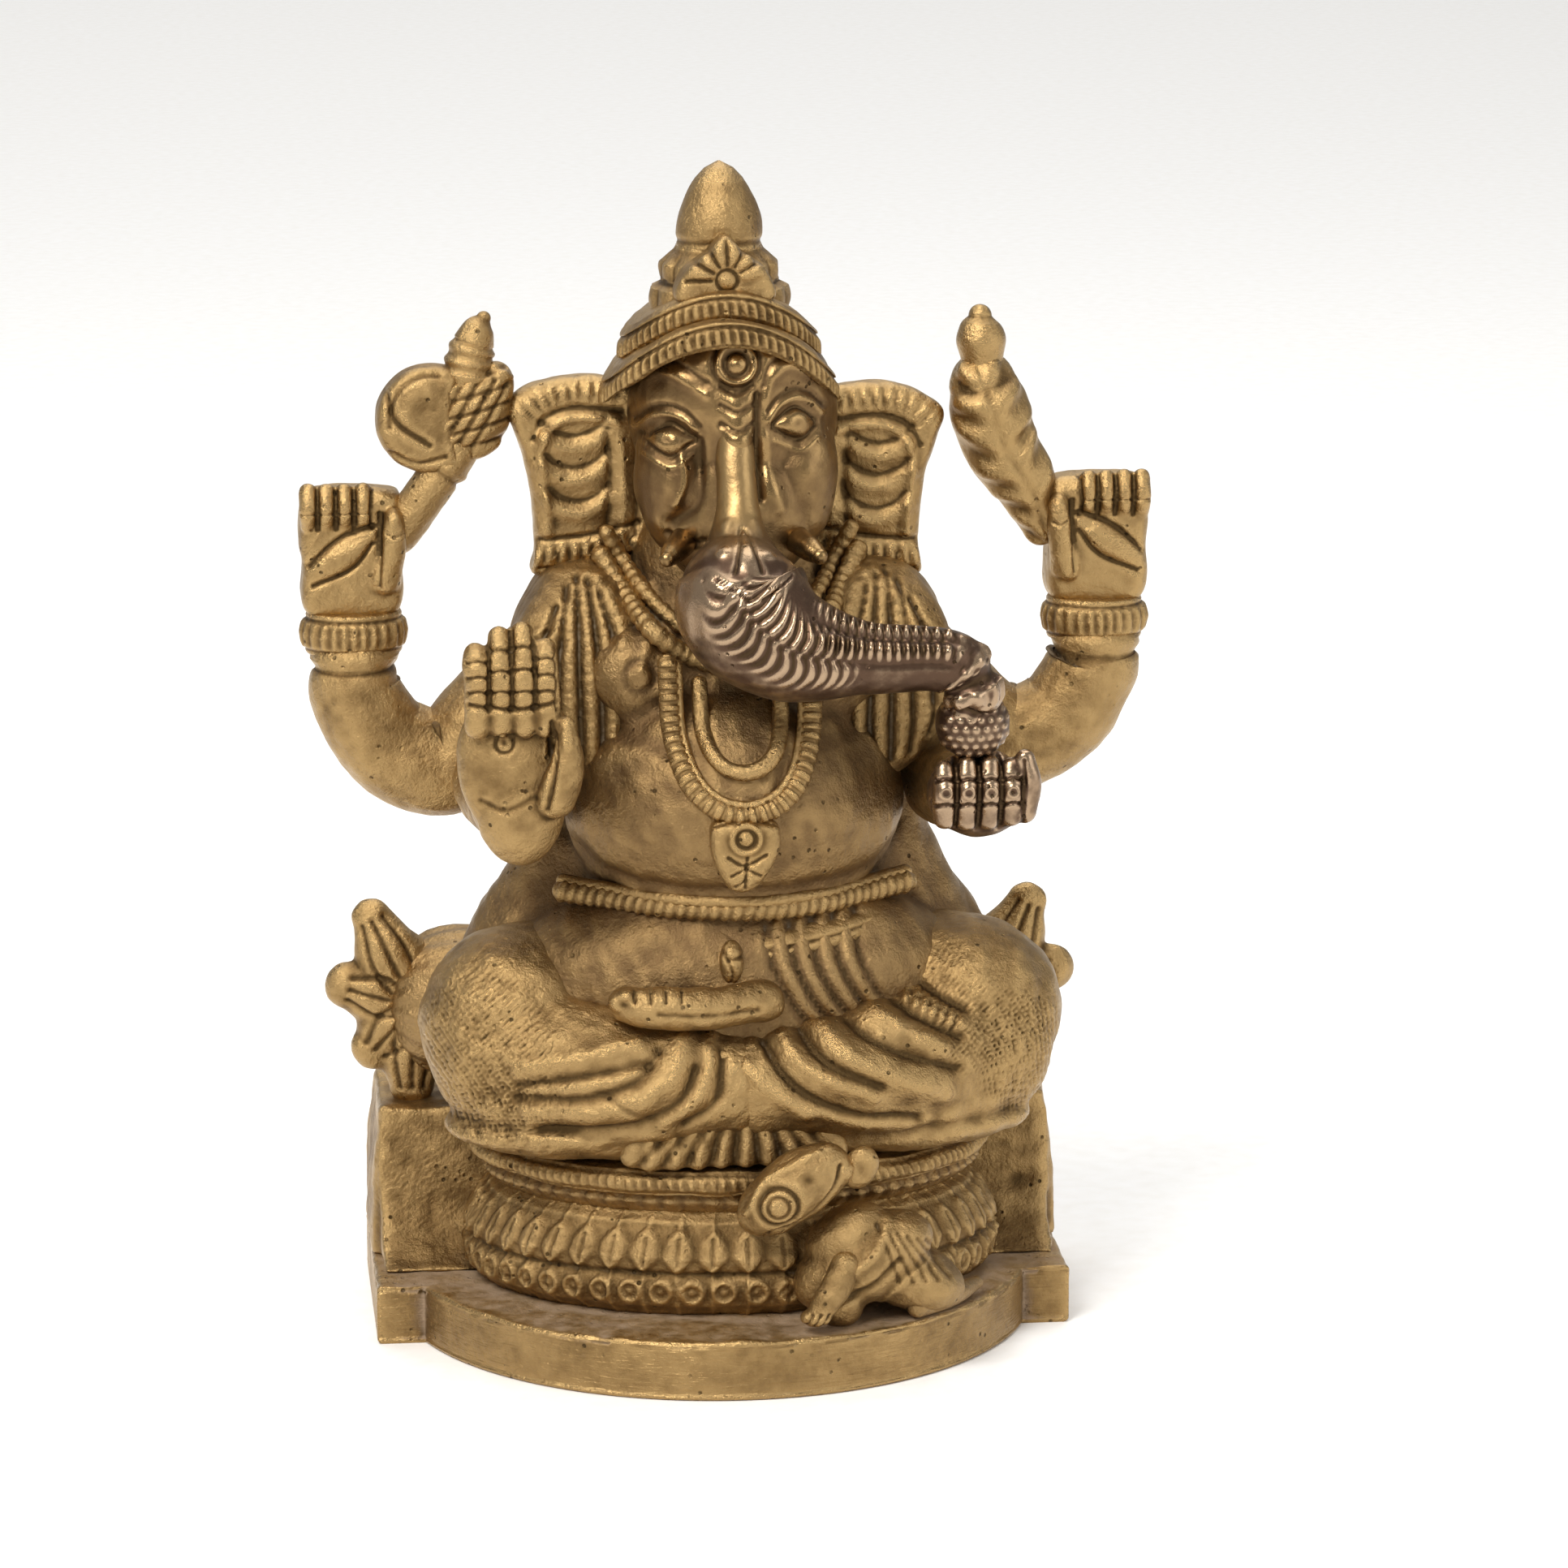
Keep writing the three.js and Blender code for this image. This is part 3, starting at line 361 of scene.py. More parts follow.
def carved(shell, *marks, seed=1, uneven=0.16):
    """The surface pushed along its normals by the marks, where it looks to the front, and by the wobble."""
    verts, tris = shell
    n = normals(verts, tris)
    front = np.clip(0.15 - 2.4 * n[:, 1], 0, 1)
    push = sum((mark(verts) for mark in marks), np.zeros(len(verts))) * front * CAST_SOFTNESS
    push += wobble(verts, 6, uneven, seed) + wobble(verts, 2.2, uneven * 0.4, seed + 50)
    return verts + n * push[:, None], tris


def place(name, shell, node, slot):
    """Puts a finished surface into its own mesh, in metres, riding on the body for its CAD node."""
    verts, tris = shell
    mesh = bpy.data.meshes.new(name)
    mesh.vertices.add(len(verts))
    mesh.vertices.foreach_set("co", (verts * MM).astype(np.float32).ravel())
    mesh.loops.add(tris.size)
    mesh.loops.foreach_set("vertex_index", tris.astype(np.int32).ravel())
    mesh.polygons.add(len(tris))
    mesh.polygons.foreach_set("loop_start", np.arange(len(tris), dtype=np.int32) * 3)
    mesh.polygons.foreach_set("use_smooth", np.ones(len(tris), bool))
    mesh.update(calc_edges=True)
    piece = bpy.data.objects.new(name, mesh)
    bpy.context.scene.collection.objects.link(piece)
    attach(piece, "root")
    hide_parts(node)
    piece["cast"] = slot
    return piece


# ---- The base -------------------------------------------------------------------------------


def bowed_plan():
    """The plinth's plan: a straight back and sides, two short shoulders and a bow that is a circle's arc."""
    low, high = span("plinth")
    mx = (low[0] + high[0]) / 2
    half, bow, shoulder = (high[0] - low[0]) / 2, 29.6, -3.0
    sag = shoulder - low[1]
    radius = (bow**2 + sag**2) / (2 * sag)
    a = np.arcsin(bow / radius)
    sweep = np.linspace(-a, a, 120)
    cy = low[1] + radius
    arc = np.column_stack([mx + radius * np.sin(sweep), cy - radius * np.cos(sweep)])
    corners = np.array(
        [[mx + half, shoulder], [mx + half, high[1]], [mx - half, high[1]], [mx - half, shoulder]]
    )
    return np.vstack([arc, corners])


def even_loop(plan, count):
    """A closed outline resampled at even steps of its length."""
    loop = np.vstack([plan, plan[:1]])
    s = np.append(0, np.cumsum(np.linalg.norm(np.diff(loop, axis=0), axis=1)))
    w = np.linspace(0, s[-1], count, endpoint=False)
    return np.column_stack([np.interp(w, s, loop[:, 0]), np.interp(w, s, loop[:, 1])])


def make_plinth(sizes):
    """The plinth: its plan carried up, drawn in along a small rounding at each rim, then to the middle."""
    low, high = span("plinth")
    around, flats, walls = 600, 54, 14  # points round the plan, rings over its top, rings up its side
    plan = even_loop(bowed_plan(), around)
    middle = plan.mean(0)
    lean = np.linspace(0, math.pi / 2, 5)
    r = sizes.mm("plinth_edge")
    inner = np.linspace(0.04, 0.97, flats)
    wall = np.linspace(low[2] + r, high[2] - r, walls)
    under = inner[::6]
    rising, turning = 1 - np.sin(lean), 1 - np.cos(lean)
    shares = np.concatenate([under, 1 - r / 30 * rising, np.ones(walls), 1 - r / 30 * turning, inner[::-1]])
    z = np.concatenate(
        [[low[2]] * len(under), low[2] + r * turning, wall, high[2] - r * rising, [high[2]] * flats]
    )
    flatring = middle + (plan - middle)[None] * shares[:, None, None]
    shell = closed(np.concatenate([flatring, np.repeat(z[:, None, None], around, 1)], 2))
    verts, tris = shell
    n = normals(verts, tris)
    top = np.clip(n[:, 2], 0, 1)
    dents = wobble(verts, 9, 0.16, 3) + wobble(verts, 2.6, 0.07, 4)
    rim = wobble(verts, 3.5, 0.14, 5) * (np.abs(verts[:, 2] - high[2]) < 0.5)
    move = n * (dents * (0.35 + 0.65 * top) * (verts[:, 2] > 0.6) + rim)[:, None]
    place("cast_plinth", (verts + move, tris), "plinth", "brass")


def make_block(sizes):
    """The block behind the seat: a slab with rounded rims, fused to the slope that runs down its front."""
    low, high = span("throne_block")
    mx = mid("plinth")[0]
    half, bottom, top = (high[0] - low[0]) / 2, low[2] - 0.4, high[2]
    front = 7.5
    face = [
        (mx - half, bottom), (mx - half + 0.2, (bottom + top) / 2), (mx - half + 1.1, top), (mx, top),
        (mx + half - 1.1, top), (mx + half - 0.2, (bottom + top) / 2), (mx + half, bottom), (mx, bottom),
    ]
    y = np.array([front + 8, front + 0.2, front - 0.8, front - 2.6, front - 4.8, front - 6.2])
    z = np.array([bottom + 15, bottom + 14, bottom + 6, bottom + 2.4, bottom + 0.8, bottom + 0.3])
    xs = np.array([mx - half + 0.9, mx + half - 0.9])
    strip = np.array(
        [[[x, yy, zz] for yy, zz in zip(y, z)] + [[x, y[-1], bottom], [x, y[0], bottom]] for x in xs]
    )
    shell = fused(0.4, 2, slab(face, front, high[1]), closed(strip))
    marks = (
        punched(on("throne_block", (-30, 1)), (5, 6), 0.9, sizes.mm("punch_depth") * 0.5),
        spot(on("throne_block", (30.5, -1.5)), (1.1, 0.8), -0.35),
        spot(on("throne_block", (28.6, 2.2)), (0.6, 0.5), -0.3),
        spot(on("throne_block", (-28.5, -3)), (0.5, 0.6), -0.25),
    )
    place("cast_block", carved(shell, *marks, seed=7, uneven=0.2), "throne_block", "worn_brass")


def slab(corners, front, back):
    """A straight-sided plate: its outline at six depths, drawn in a little at both faces."""
    p = np.asarray(corners, float)
    m = p.mean(0)
    depth = np.array([front, front + 0.05, front + 0.5, back - 0.5, back - 0.05, back])
    share = np.array([0.5, 0.985, 1, 1, 0.985, 0.5])
    ring = m + (p - m)[None] * share[:, None, None]
    return closed(np.stack([ring[..., 0], np.repeat(depth[:, None], len(p), 1), ring[..., 1]], -1))


def make_seat(sizes):
    """The lotus ring, its ledge and the cushion: oval lathe pieces with a row of marks pressed round each."""
    low, high = span("lotus_ring")
    half, h = (high - low)[:2] / 2, high[2] - low[2]
    at = np.array([mid("lotus_ring")[0], mid("lotus_ring")[1], low[2] - 0.3])

    def petals(w, z):
        """Upper row: pointed leaves with a middle rib. Lower row: small rings with a dot in each."""
        pitch = sizes.mm("petal_pitch")
        u = (w / pitch + 0.5) % 1 - 0.5
        t = np.clip((z - 0.46 * h) / (0.42 * h), 0, 1)
        leaf = 0.46 * np.sin(math.pi * t) ** 0.8
        raised = 0.5 * (1 + np.tanh((leaf - np.abs(u)) * pitch * 3.4))
        upper = raised * (
            0.62 - 0.25 * np.abs(u) / 0.4
        ) - 0.3 * np.exp(-((u * pitch / 0.2) ** 2)) * (t > 0.1) * (t < 0.8)
        v = (w / (pitch * 0.9) + 0.25) % 1 - 0.5
        d = np.hypot(v * pitch * 0.9, z - 0.26 * h)
        lower = 0.42 * np.exp(-(((d - 1.0) / 0.34) ** 2)) + 0.3 * np.exp(-((d / 0.4) ** 2))
        step = -0.35 * np.exp(-(((z - 0.44 * h) / 0.3) ** 2)) + 0.3 * np.exp(
            -(((z - 0.93 * h) / 0.35) ** 2)
        )
        return upper + lower * (np.abs(z - 0.26 * h) < 1.5) + step - 0.25

    ring = turned(
        at, half,
        [
            (0.05, 0), (0.93, 0), (0.99, 0.12 * h), (1, 0.3 * h), (0.985, 0.6 * h), (0.93, 0.85 * h),
            (0.86, 1.02 * h), (0.05, 1.04 * h),
        ],
        0.22, 700, petals,
    )
    place("lotus_petal_ring", roughened(ring, 11, 0.16), "lotus_ring", "brass")

    low, high = span("seat_ledge")
    h = high[2] - low[2] + 1.2
    at = np.array([mid("seat_ledge")[0], mid("seat_ledge")[1], low[2] - 0.6])

    def scallops(w, z):
        """A row of shallow half-rounds: the rectified sine of the way round."""
        return 0.45 * np.abs(np.sin(TURN * w / 4.2)) * np.exp(-(((z - 0.45 * h) / (0.4 * h)) ** 2)) - 0.1

    ledge = turned(
        at, (high - low)[:2] / 2 + 0.5,
        [(0.05, 0), (0.45, 0), (0.95, 0), (1, 0.5 * h), (0.97, h), (0.8, h), (0.05, h)], 0.24, 560,
        scallops,
    )
    place("scalloped_ledge", roughened(ledge, 12, 0.15), "seat_ledge", "dull_brass")

    low, high = span("seat_cushion")
    h = high[2] - low[2]
    at = np.array([mid("seat_cushion")[0], mid("seat_cushion")[1], low[2] - 0.2])

    def cord(w, z):
        """Ticks along the rim's lower half, with a groove over them and another under."""
        tick = 0.16 * np.cos(
            TURN * w / sizes.mm("rim_tick") + 1.1 * z
        ) * np.exp(-(((z - 0.5 * h) / (0.3 * h)) ** 2))
        return tick - 0.3 * np.exp(
            -(((z - 0.86 * h) / 0.22) ** 2)
        ) - 0.3 * np.exp(-(((z - 0.08 * h) / 0.2) ** 2))

    rim = [
        (0.05, 0), (0.95, 0), (0.995, 0.3 * h), (1, 0.5 * h), (0.99, 0.8 * h), (0.95, h), (0.9, 1.06 * h),
        (0.05, 1.06 * h),
    ]
    cushion = turned(at, (high - low)[:2] / 2, rim, 0.2, 760, cord)
    place("corded_cushion", roughened(cushion, 13, 0.22), "seat_cushion", "brass")


def roughened(shell, seed, amount):
    """The surface pushed along its normals by the wobble alone."""
    verts, tris = shell
    n = normals(verts, tris)
    return verts + n * (
        wobble(verts, 7, amount, seed) + wobble(verts, 2, amount * 0.3, seed + 9)
    )[:, None], tris


def make_mouse(sizes):
    """The mouse: eggs fused into a leaning body, a head with a ringed eye, an ear, a paw and a tail."""
    m = mid("mouse_body")
    parts = (
        egg(m + (-0.9, 0.1, -0.8), (7.4, 4.4, 3.9), -0.5),
        egg(m + (3.8, 1.4, -2.9), (5.6, 4.6, 3.1), 0.3),
        egg(m + (-3.4, -1.2, -3.6), (2.6, 3.2, 3.6)),
        egg(m + (-2.4, 0.2, 1.4), (4.4, 3.4, 3.2), -0.6),
    )
    hair = [
        line(
            on(
                "mouse_body", (0.2 + k * 0.95, 3.4 - 0.35 * k), (1.3 + k * 1.15, 0.6 - 0.3 * k),
                (2.3 + k * 1.25, -2.2),
            ),
            0.22, -0.24,
        )
        for k in range(6)
    ]
    ribs = [
        line(on("mouse_body", (-4.8, -1.6), (-2.0, -0.6), (0.3, 1.6), (1.2, 3.8)), 0.5, 0.5),
        line(on("mouse_body", (-3.6, -3.6), (-0.4, -2.2), (2.2, 0.2)), 0.4, -0.6),
        line(on("mouse_body", (0.6, -4.4), (2.6, -2.2), (5.0, -0.6)), 0.45, 0.45),
    ]
    place(
        "mouse_body_cast", carved(fused(FOLD_CELL, 8, *parts), *hair, *ribs, seed=21), "mouse_body",
        "brass",
    )
    m = mid("mouse_head")
    shell = fused(
        HAND_CELL, 6, egg(m + (-0.2, 0, 0), (6.2, 3.1, 3.3), -0.62),
        egg(m + (-1.8, -0.3, -1.2), (3.5, 2.8, 3.0), -0.6), egg(m + (3.4, 0.2, 2.0), (2.0, 2.2, 2.0)),
    )
    eye = on("mouse_head", (-1.9, -1.0))
    marks = (
        spot(eye, (0.9, 0.9), 0.4), hoop(eye, 1.9, 0.28, -0.5), hoop(eye, 1.05, 0.2, -0.26),
        spot(on("mouse_head", (0.9, 1.6)), (0.8, 0.6), -0.3),
        line(on("mouse_head", (-2.6, -4.0), (0.8, -2.6), (3.4, 0.2), (4.2, 2.6)), 0.3, -0.6),
        line(on("mouse_head", (-1.4, -4.6), (1.8, -3.2), (4.4, -0.4), (5.2, 2.2)), 0.35, 0.4),
        line(on("mouse_head", (-4.9, -1.9), (-3.2, 1.2), (0.2, 3.2), (3.4, 4.4)), 0.3, 0.3),
    )
    place("mouse_head_cast", carved(shell, *marks, seed=22), "mouse_head", "worn_brass")
    m = mid("mouse_ear")
    place(
        "mouse_ear_cast",
        carved(
            fused(0.16, 3, egg(m, (1.7, 1.4, 2.2), 0.5)), spot(on("mouse_ear", (0, 0)), (0.8, 1.1), -0.5),
            seed=23,
        ),
        "mouse_ear", "brass",
    )
    paw = fused(
        FINE_CELL, 3,
        tube(by("mouse_paw", (1.6, 1.4, 2.4, 1.5), (0.4, 0.3, 0.4, 1.5), (-1.0, -0.1, -1.6, 1.2))),
        egg(mid("mouse_paw") + (-1.4, -0.2, -2.0), (1.6, 1.3, 0.9)),
    )
    place(
        "mouse_paw_cast",
        carved(
            paw,
            *[
                line(on("mouse_paw", (-2.4 + k * 0.8, -2.6), (-1.8 + k * 0.8, -1.5)), 0.16, -0.3)
                for k in range(3)
            ],
            seed=24,
        ),
        "mouse_paw", "brass",
    )
    tail = tube(by("mouse_tail", (-3.0, -2.9, 0, 1.1), (0.6, 0.0, 0, 1.0), (3.6, 4.0, 0, 0.7)), 0.2, 24)
    place("mouse_tail_cast", roughened(tail, 25, 0.1), "mouse_tail", "dull_brass")


# ---- Legs, bolster and dress ------------------------------------------------------------------


def make_legs(sizes):
    """Each folded leg: a thigh and a shin fused, with dress folds raised on it and the knee punched."""
    for side, node, name in ((-1, "right_leg", "right_leg_cast"), (1, "left_leg", "left_leg_cast")):
        m = mid(node)
        x = abs(m[0])
        thigh = tube(
            [
                (side * 7, 7, m[2] + 0.8, 9.2), (side * 15.4, 2, m[2] + 1, 9.5),
                (side * (x + 7.1), -2.8, m[2] + 0.9, 9.3),
            ],
            0.6, 60,
        )
        shin = tube(
            [
                (side * (x + 7.2), -4.6, m[2] - 1.6, 8.3), (side * 12, -11, m[2] - 2.8, 6.7),
                (side * 1.5, -12.2, m[2] - 3.4, 5.2),
            ],
            0.6, 60,
        )
        foot_of_fold = egg((side * 13, -8, m[2] - 5.5), (14, 7.4, 4.2))
        skirt = egg((side * 12.5, -6.0, m[2] - 8.5), (16.2, 9.2, 2.9))
        shell = fused(sizes.mm("voxel"), 10, thigh, shin, foot_of_fold, skirt)
        h = sizes.mm("fold_height")
        if side < 0:
            marks = (
                line(on(node, (3.9, 1.9), (-1.8, 0.6), (-7.4, -0.9)), 0.75, 0.7 * h),
                line(on(node, (4.6, 0.2), (-1.6, -1.1), (-7.6, -2.6)), 0.5, -0.7 * h),
                line(on(node, (8.3, 1.9), (6.3, -1.7), (1.8, -4.3), (-6.3, -5)), 1.3, 1.15 * h),
                line(on(node, (5.8, 1.2), (3.6, -1.4), (-1.2, -3.2), (-7.6, -3.9)), 0.55, -0.75 * h),
                line(on(node, (9.2, -0.6), (7.6, -3.6), (3.0, -5.9), (-5.3, -6.9)), 0.55, -0.75 * h),
                line(on(node, (10.8, 2), (9.8, -2.5), (6.3, -5.4)), 0.8, 0.8 * h),
                line(on(node, (11.9, 0.6), (11.2, -3.5), (8.2, -6)), 0.5, -0.7 * h),
                line(on(node, (6.3, -6.9), (0, -7.9), (-7.3, -7.6)), 0.8, 0.7 * h),
                spot(on(node, (2.4, -3.9)), (2.4, 0.35), -0.4 * h, 2, -0.5),
                punched(
                    on(node, (-10.2, 0.2)), (6.2, 7.6), sizes.mm("punch_pitch"), sizes.mm("punch_depth"),
                ),
                punched(
                    on(node, (-9, -6)), (6.2, 3.2), sizes.mm("punch_pitch"), sizes.mm("punch_depth") * 0.9,
                    0.2,
                ),
            )
        else:
            marks = (
                line(on(node, (-13.25, 8.7), (-13.4, 4.7), (-10.45, -0.6), (-3.85, -3.7)), 0.75, 0.9 * h),
                line(on(node, (-12, 8.7), (-11.6, 4.7), (-8.8, 0.2), (-3.2, -2.6)), 0.5, -0.75 * h),
                line(
                    on(node, (-10.45, 9.3), (-9.75, 4.7), (-6.6, 0.6), (-2.5, -1.6), (3.25, -4)), 1.15,
                    1.1 * h,
                ),
                line(on(node, (-9, 9), (-7.6, 5), (-4.7, 2.2), (-1.2, 0.4), (4.6, -1.8)), 0.55, -0.8 * h),
                line(on(node, (-7.45, 9), (-5.4, 5.3), (-2.2, 3.2), (3.25, 0.3)), 0.9, 0.9 * h),
                line(on(node, (-6.1, 9), (-3.7, 5.9), (-0.3, 3.9), (5, 1.2)), 0.5, -0.75 * h),
                line(on(node, (-4.75, 8.7), (-1.6, 5.9), (4.95, 2.2)), 0.7, 0.75 * h, 0.9),
                line(on(node, (-3.6, 8.4), (-0.2, 6.4), (5.6, 3.4)), 0.35, -0.7 * h),
                line(on(node, (-15.95, -0.6), (-13.25, -3.2), (-10.45, -5.1)), 0.8, 0.8 * h),
                line(on(node, (-14.2, 1.5), (-11.6, -2.3), (-6.4, -5.2), (0.5, -6.3)), 0.5, -0.9 * h),
                line(on(node, (-9.6, -4.8), (-3.4, -6.6), (4, -6.6)), 0.95, 0.7 * h),
                punched(on(node, (8.2, 1.2)), (6, 3.6), sizes.mm("punch_pitch"), sizes.mm("punch_depth")),
                punched(
                    on(node, (11.6, -1.8)), (4.2, 5.8), sizes.mm("punch_pitch"), sizes.mm("punch_depth"),
                    0.1,
                ),
                punched(
                    on(node, (4.4, 6.2)), (5.2, 2.4), sizes.mm("punch_pitch"),
                    sizes.mm("punch_depth") * 0.7, 0.9,
                ),
            )
        place(name, carved(shell, *marks, seed=31 + side, uneven=0.2), node, "worn_brass")


def make_foot(sizes):
    """The upturned foot: a sole that widens to the toes, with a knob for the great toe."""
    m = mid("left_foot")
    sole = tube(
        by(
            "left_foot", (6.8, 1.4, -0.3, 2.0), (1.6, 0, -0.4, 2.1), (-4, -0.5, -0.2, 2.0),
            (-6.6, 0.6, 0.1, 1.7),
        ),
        0.3, 40,
    )
    toes = [egg(m + (-6.6 + k * 1.5, -0.7, 1.15 - k * 0.18), (0.95, 1.1, 0.75)) for k in range(4)]
    toes.append(egg(m + (-7.2, -0.3, 0.5), (1.25, 1.3, 1.1)))
    marks = [
        line(on("left_foot", (-5.8 + k * 1.5, 2.0), (-5.9 + k * 1.5, 0.8)), 0.2, -0.35)
        for k in range(4)
    ]
    marks += [
        line(on("left_foot", (-3.6, -0.4), (1.5, -0.7), (6, -0.6)), 0.35, -0.3),
        spot(on("left_foot", (-7, 0.4)), (0.5, 0.4), -0.25),
    ]
    place(
        "upturned_foot", carved(fused(HAND_CELL, 5, sole, *toes), *marks, seed=35), "left_foot",
        "worn_brass",
    )


def make_hem(sizes):
    """The gathered hem between the legs: a fan whose pleats spread down to a row of pointed ends."""
    m = mid("front_pleats")
    low, high = span("front_pleats")
    fan = pad(
        [
            (m[0] - 10.4, low[2] + 0.2), (m[0], low[2] - 0.1), (m[0] + 10.4, low[2] + 0.2),
            (m[0] + 8.8, low[2] + 5), (m[0] + 3.6, high[2]), (m[0] - 3.4, high[2]),
            (m[0] - 8.8, low[2] + 5),
        ],
        m[1] + 4, m[1] - 3.4, 1.3,
    )
    marks = []
    for k in range(-4, 5):
        foot, head = (k * 2.3, -5.2), (k * 1.15 + 0.3, 1.8 - 0.12 * k * k)
        marks.append(line(on("front_pleats", head, ((foot[0] + head[0]) / 2 + 0.1, -2), foot), 0.45, -0.6))
        marks.append(spot(on("front_pleats", (foot[0] + 1.1, -3.9)), (0.55, 1.7), 0.5))
    marks.append(line(on("front_pleats", (-9.4, -1.2), (-3, 1.1), (3, 1.1), (9.4, -1.2)), 0.4, -0.5))
    place("pleated_hem", carved(fused(FOLD_CELL, 4, fan), *marks, seed=36), "front_pleats", "brass")


def make_sash(sizes):
    """The waist sash: a limb that follows the lap, with a knot fused to its end and two grooves along it."""
    sash = tube(
        by(
            "waist_sash", (-7.4, 2.4, -1.2, 1.3), (-2, 2.4, -0.6, 1.7), (3, 3.2, 0.2, 1.6),
            (7.6, 5.4, 0.9, 1.1),
        ),
        0.25, 36,
    )
    knot = egg(mid("waist_sash") + (-6.6, 0.6, -1.6), (1.3, 1.6, 2.4))
    marks = (
        line(on("waist_sash", (-7, -1.0), (-2, -0.4), (4, 0.6), (8, 1.2)), 0.25, -0.35),
        line(on("waist_sash", (-7.6, -0.2), (-6.6, -2.2), (-6.8, -4)), 0.22, -0.3),
    )
    place("waist_sash_cast", carved(fused(0.18, 5, sash, knot), *marks, seed=37), "waist_sash", "brass")


def make_bolster(sizes):
    """The bolster behind the hips, and its gathered ends: ribbed, leaf-shaped pleats fanned round a root."""
    low, high = span("bolster")
    m = (low + high) / 2
    r, reach = (high[2] - low[2]) / 2, (high[0] - low[0]) / 2
    roll = tube(
        [(m[0] - reach + r, m[1], m[2], r), (m[0], m[1], m[2], r), (m[0] + reach - r, m[1], m[2], r)], 0.4,
        120, lambda s, a: 0.22 * np.cos(9 * a) ** 2,
    )
    place("bolster_roll", roughened(roll, 41, 0.22), "bolster", "dull_brass")
    for side, node in ((-1, "right_bolster_end"), (1, "left_bolster_end")):
        low, high = span(node)
        m = (low + high) / 2
        inner = m[0] - side * 2.4
        tips = ((3.9, 8.4, 1.5), (6.2, 1.6, 1.9), (3.8, -4.6, 1.8), (0.2, -8.6, 1.7))
        leaves, marks = [], []
        for out, up, wide in tips:
            tip = (inner + side * out, m[1] - 0.2, m[2] + up)
            half = ((inner + tip[0]) / 2, m[1] - 0.2, (m[2] + tip[2]) / 2)
            leaves.append(
                tube(
                    [(inner - side * 1.5, m[1] + 0.4, m[2], 3.4), (*half, 3.7), (*tip, wide + 0.6)], 0.4,
                    40, flat=0.75,
                )
            )
            for shift in (-1.0, 0.0, 1.0):
                across = np.array([-(tip[2] - m[2]), tip[0] - inner])
                across *= shift * 1.5 / np.linalg.norm(across)
                marks.append(
                    line(
                        [
                            (inner + across[0] * 0.4, m[2] + across[1] * 0.4),
                            (half[0] + across[0] * 1.3, half[2] + across[1] * 1.3),
                            (tip[0] + across[0] * 0.8, tip[2] + across[1] * 0.8),
                        ],
                        0.28, -0.42,
                    )
                )
        place(
            node + "_cast", carved(fused(FOLD_CELL, 4, *leaves), *marks, seed=43 + side), node,
            "worn_brass",
        )


# ---- Body -----------------------------------------------------------------------------------


def make_torso(sizes):
    """The trunk of the body: hips, lap, belly, breasts, shoulders and nape fused as pressed wax."""
    seat = span("torso")[0][2]
    hips = turned(
        (0, 6, seat - 0.4), (28, 13),
        [
            (0.05, 0), (0.74, 0), (0.86, 5), (0.93, 12), (0.95, 17), (0.88, 21), (0.78, 25), (0.71, 29),
            (0.66, 34), (0.05, 34),
        ],
        0.8, 90,
    )
    waist_z = seat + 25.7
    parts = (
        hips,
        egg((0, -4, seat + 12.4), (19, 9.4, 8.6)),
        egg((0, -2.0, seat + 15.4), (22.5, 11.2, 11.5)),
        egg((0, -1, waist_z + 7.4), (16.6, 13.1, 12.8)),
        egg((0, 3.4, waist_z + 18), (17.4, 9.6, 12.4)),
        egg((0, 4.8, waist_z + 24.0), (18.4, 6.6, 5.6)),
        egg((0, 4.4, waist_z + 29), (9.4, 7.4, 9)),
        egg((-9.6, -3.2, waist_z + 20.2), (5.0, 4.4, 4.8)),
        egg((9.6, -3.2, waist_z + 20.2), (5.0, 4.4, 4.8)),
        egg((0, 9.5, waist_z + 10), (13, 7, 16)),
    )
    shell = fused(sizes.mm("voxel") * 1.45, 11, *parts)
    marks = [
        spot(on("torso", (-9.4, 14.6)), (1.1, 1.1), 0.55, 6),
        hoop(on("torso", (-9.4, 14.6)), 1.5, 0.3, -0.35),
        spot(on("torso", (-9.4, 14.6)), (0.35, 0.35), -0.3),
        line(on("torso", (-14, 11), (-11.4, 9.0), (-6, 8.2)), 0.9, -0.5),
        line(on("torso", (14, 11), (11.4, 9.0), (6, 8.2)), 0.9, -0.5),
        line(
            on("torso", (-16.2, -2), (-13, -4.4), (-6, -5.4), (6, -5.4), (13, -4.4), (16.2, -2)), 0.8, -0.6,
        ),
        *[
            line(
                on("torso", (x, -9.6 + 0.12 * x), (x + 0.5, -13), (x + 2.6, -17), (x + 5.5, -20)), 0.55,
                0.5,
            )
            for x in (3.4, 5.6, 7.8, 10.0)
        ],
        *[
            line(
                on("torso", (x, -9.8 + 0.12 * x), (x + 0.5, -13), (x + 2.6, -17), (x + 5.5, -20)), 0.32,
                -0.55,
            )
            for x in (2.3, 4.5, 6.7, 8.9, 11.1)
        ],
        line(on("torso", (-2.2, 14), (-2.8, 8), (-2.4, 4.6)), 0.5, 0.3),
        line(on("torso", (2.4, 14), (2.8, 8), (2.2, 4.6)), 0.5, 0.3),
    ]
    for side in (-1, 1):
        for k in range(3):
            marks.append(
                line(
                    on(
                        "torso", (side * (7.8 + 1.7 * k), 22 + 1.0 * k), (side * (6.4 + 2.1 * k), 18.5),
                        (side * (7.4 + 1.9 * k), 13 + 2.2 * k),
                    ),
                    0.5, 0.5,
                )
            )
    place("torso_cast", carved(shell, *marks, seed=51, uneven=0.24), "torso", "brass")


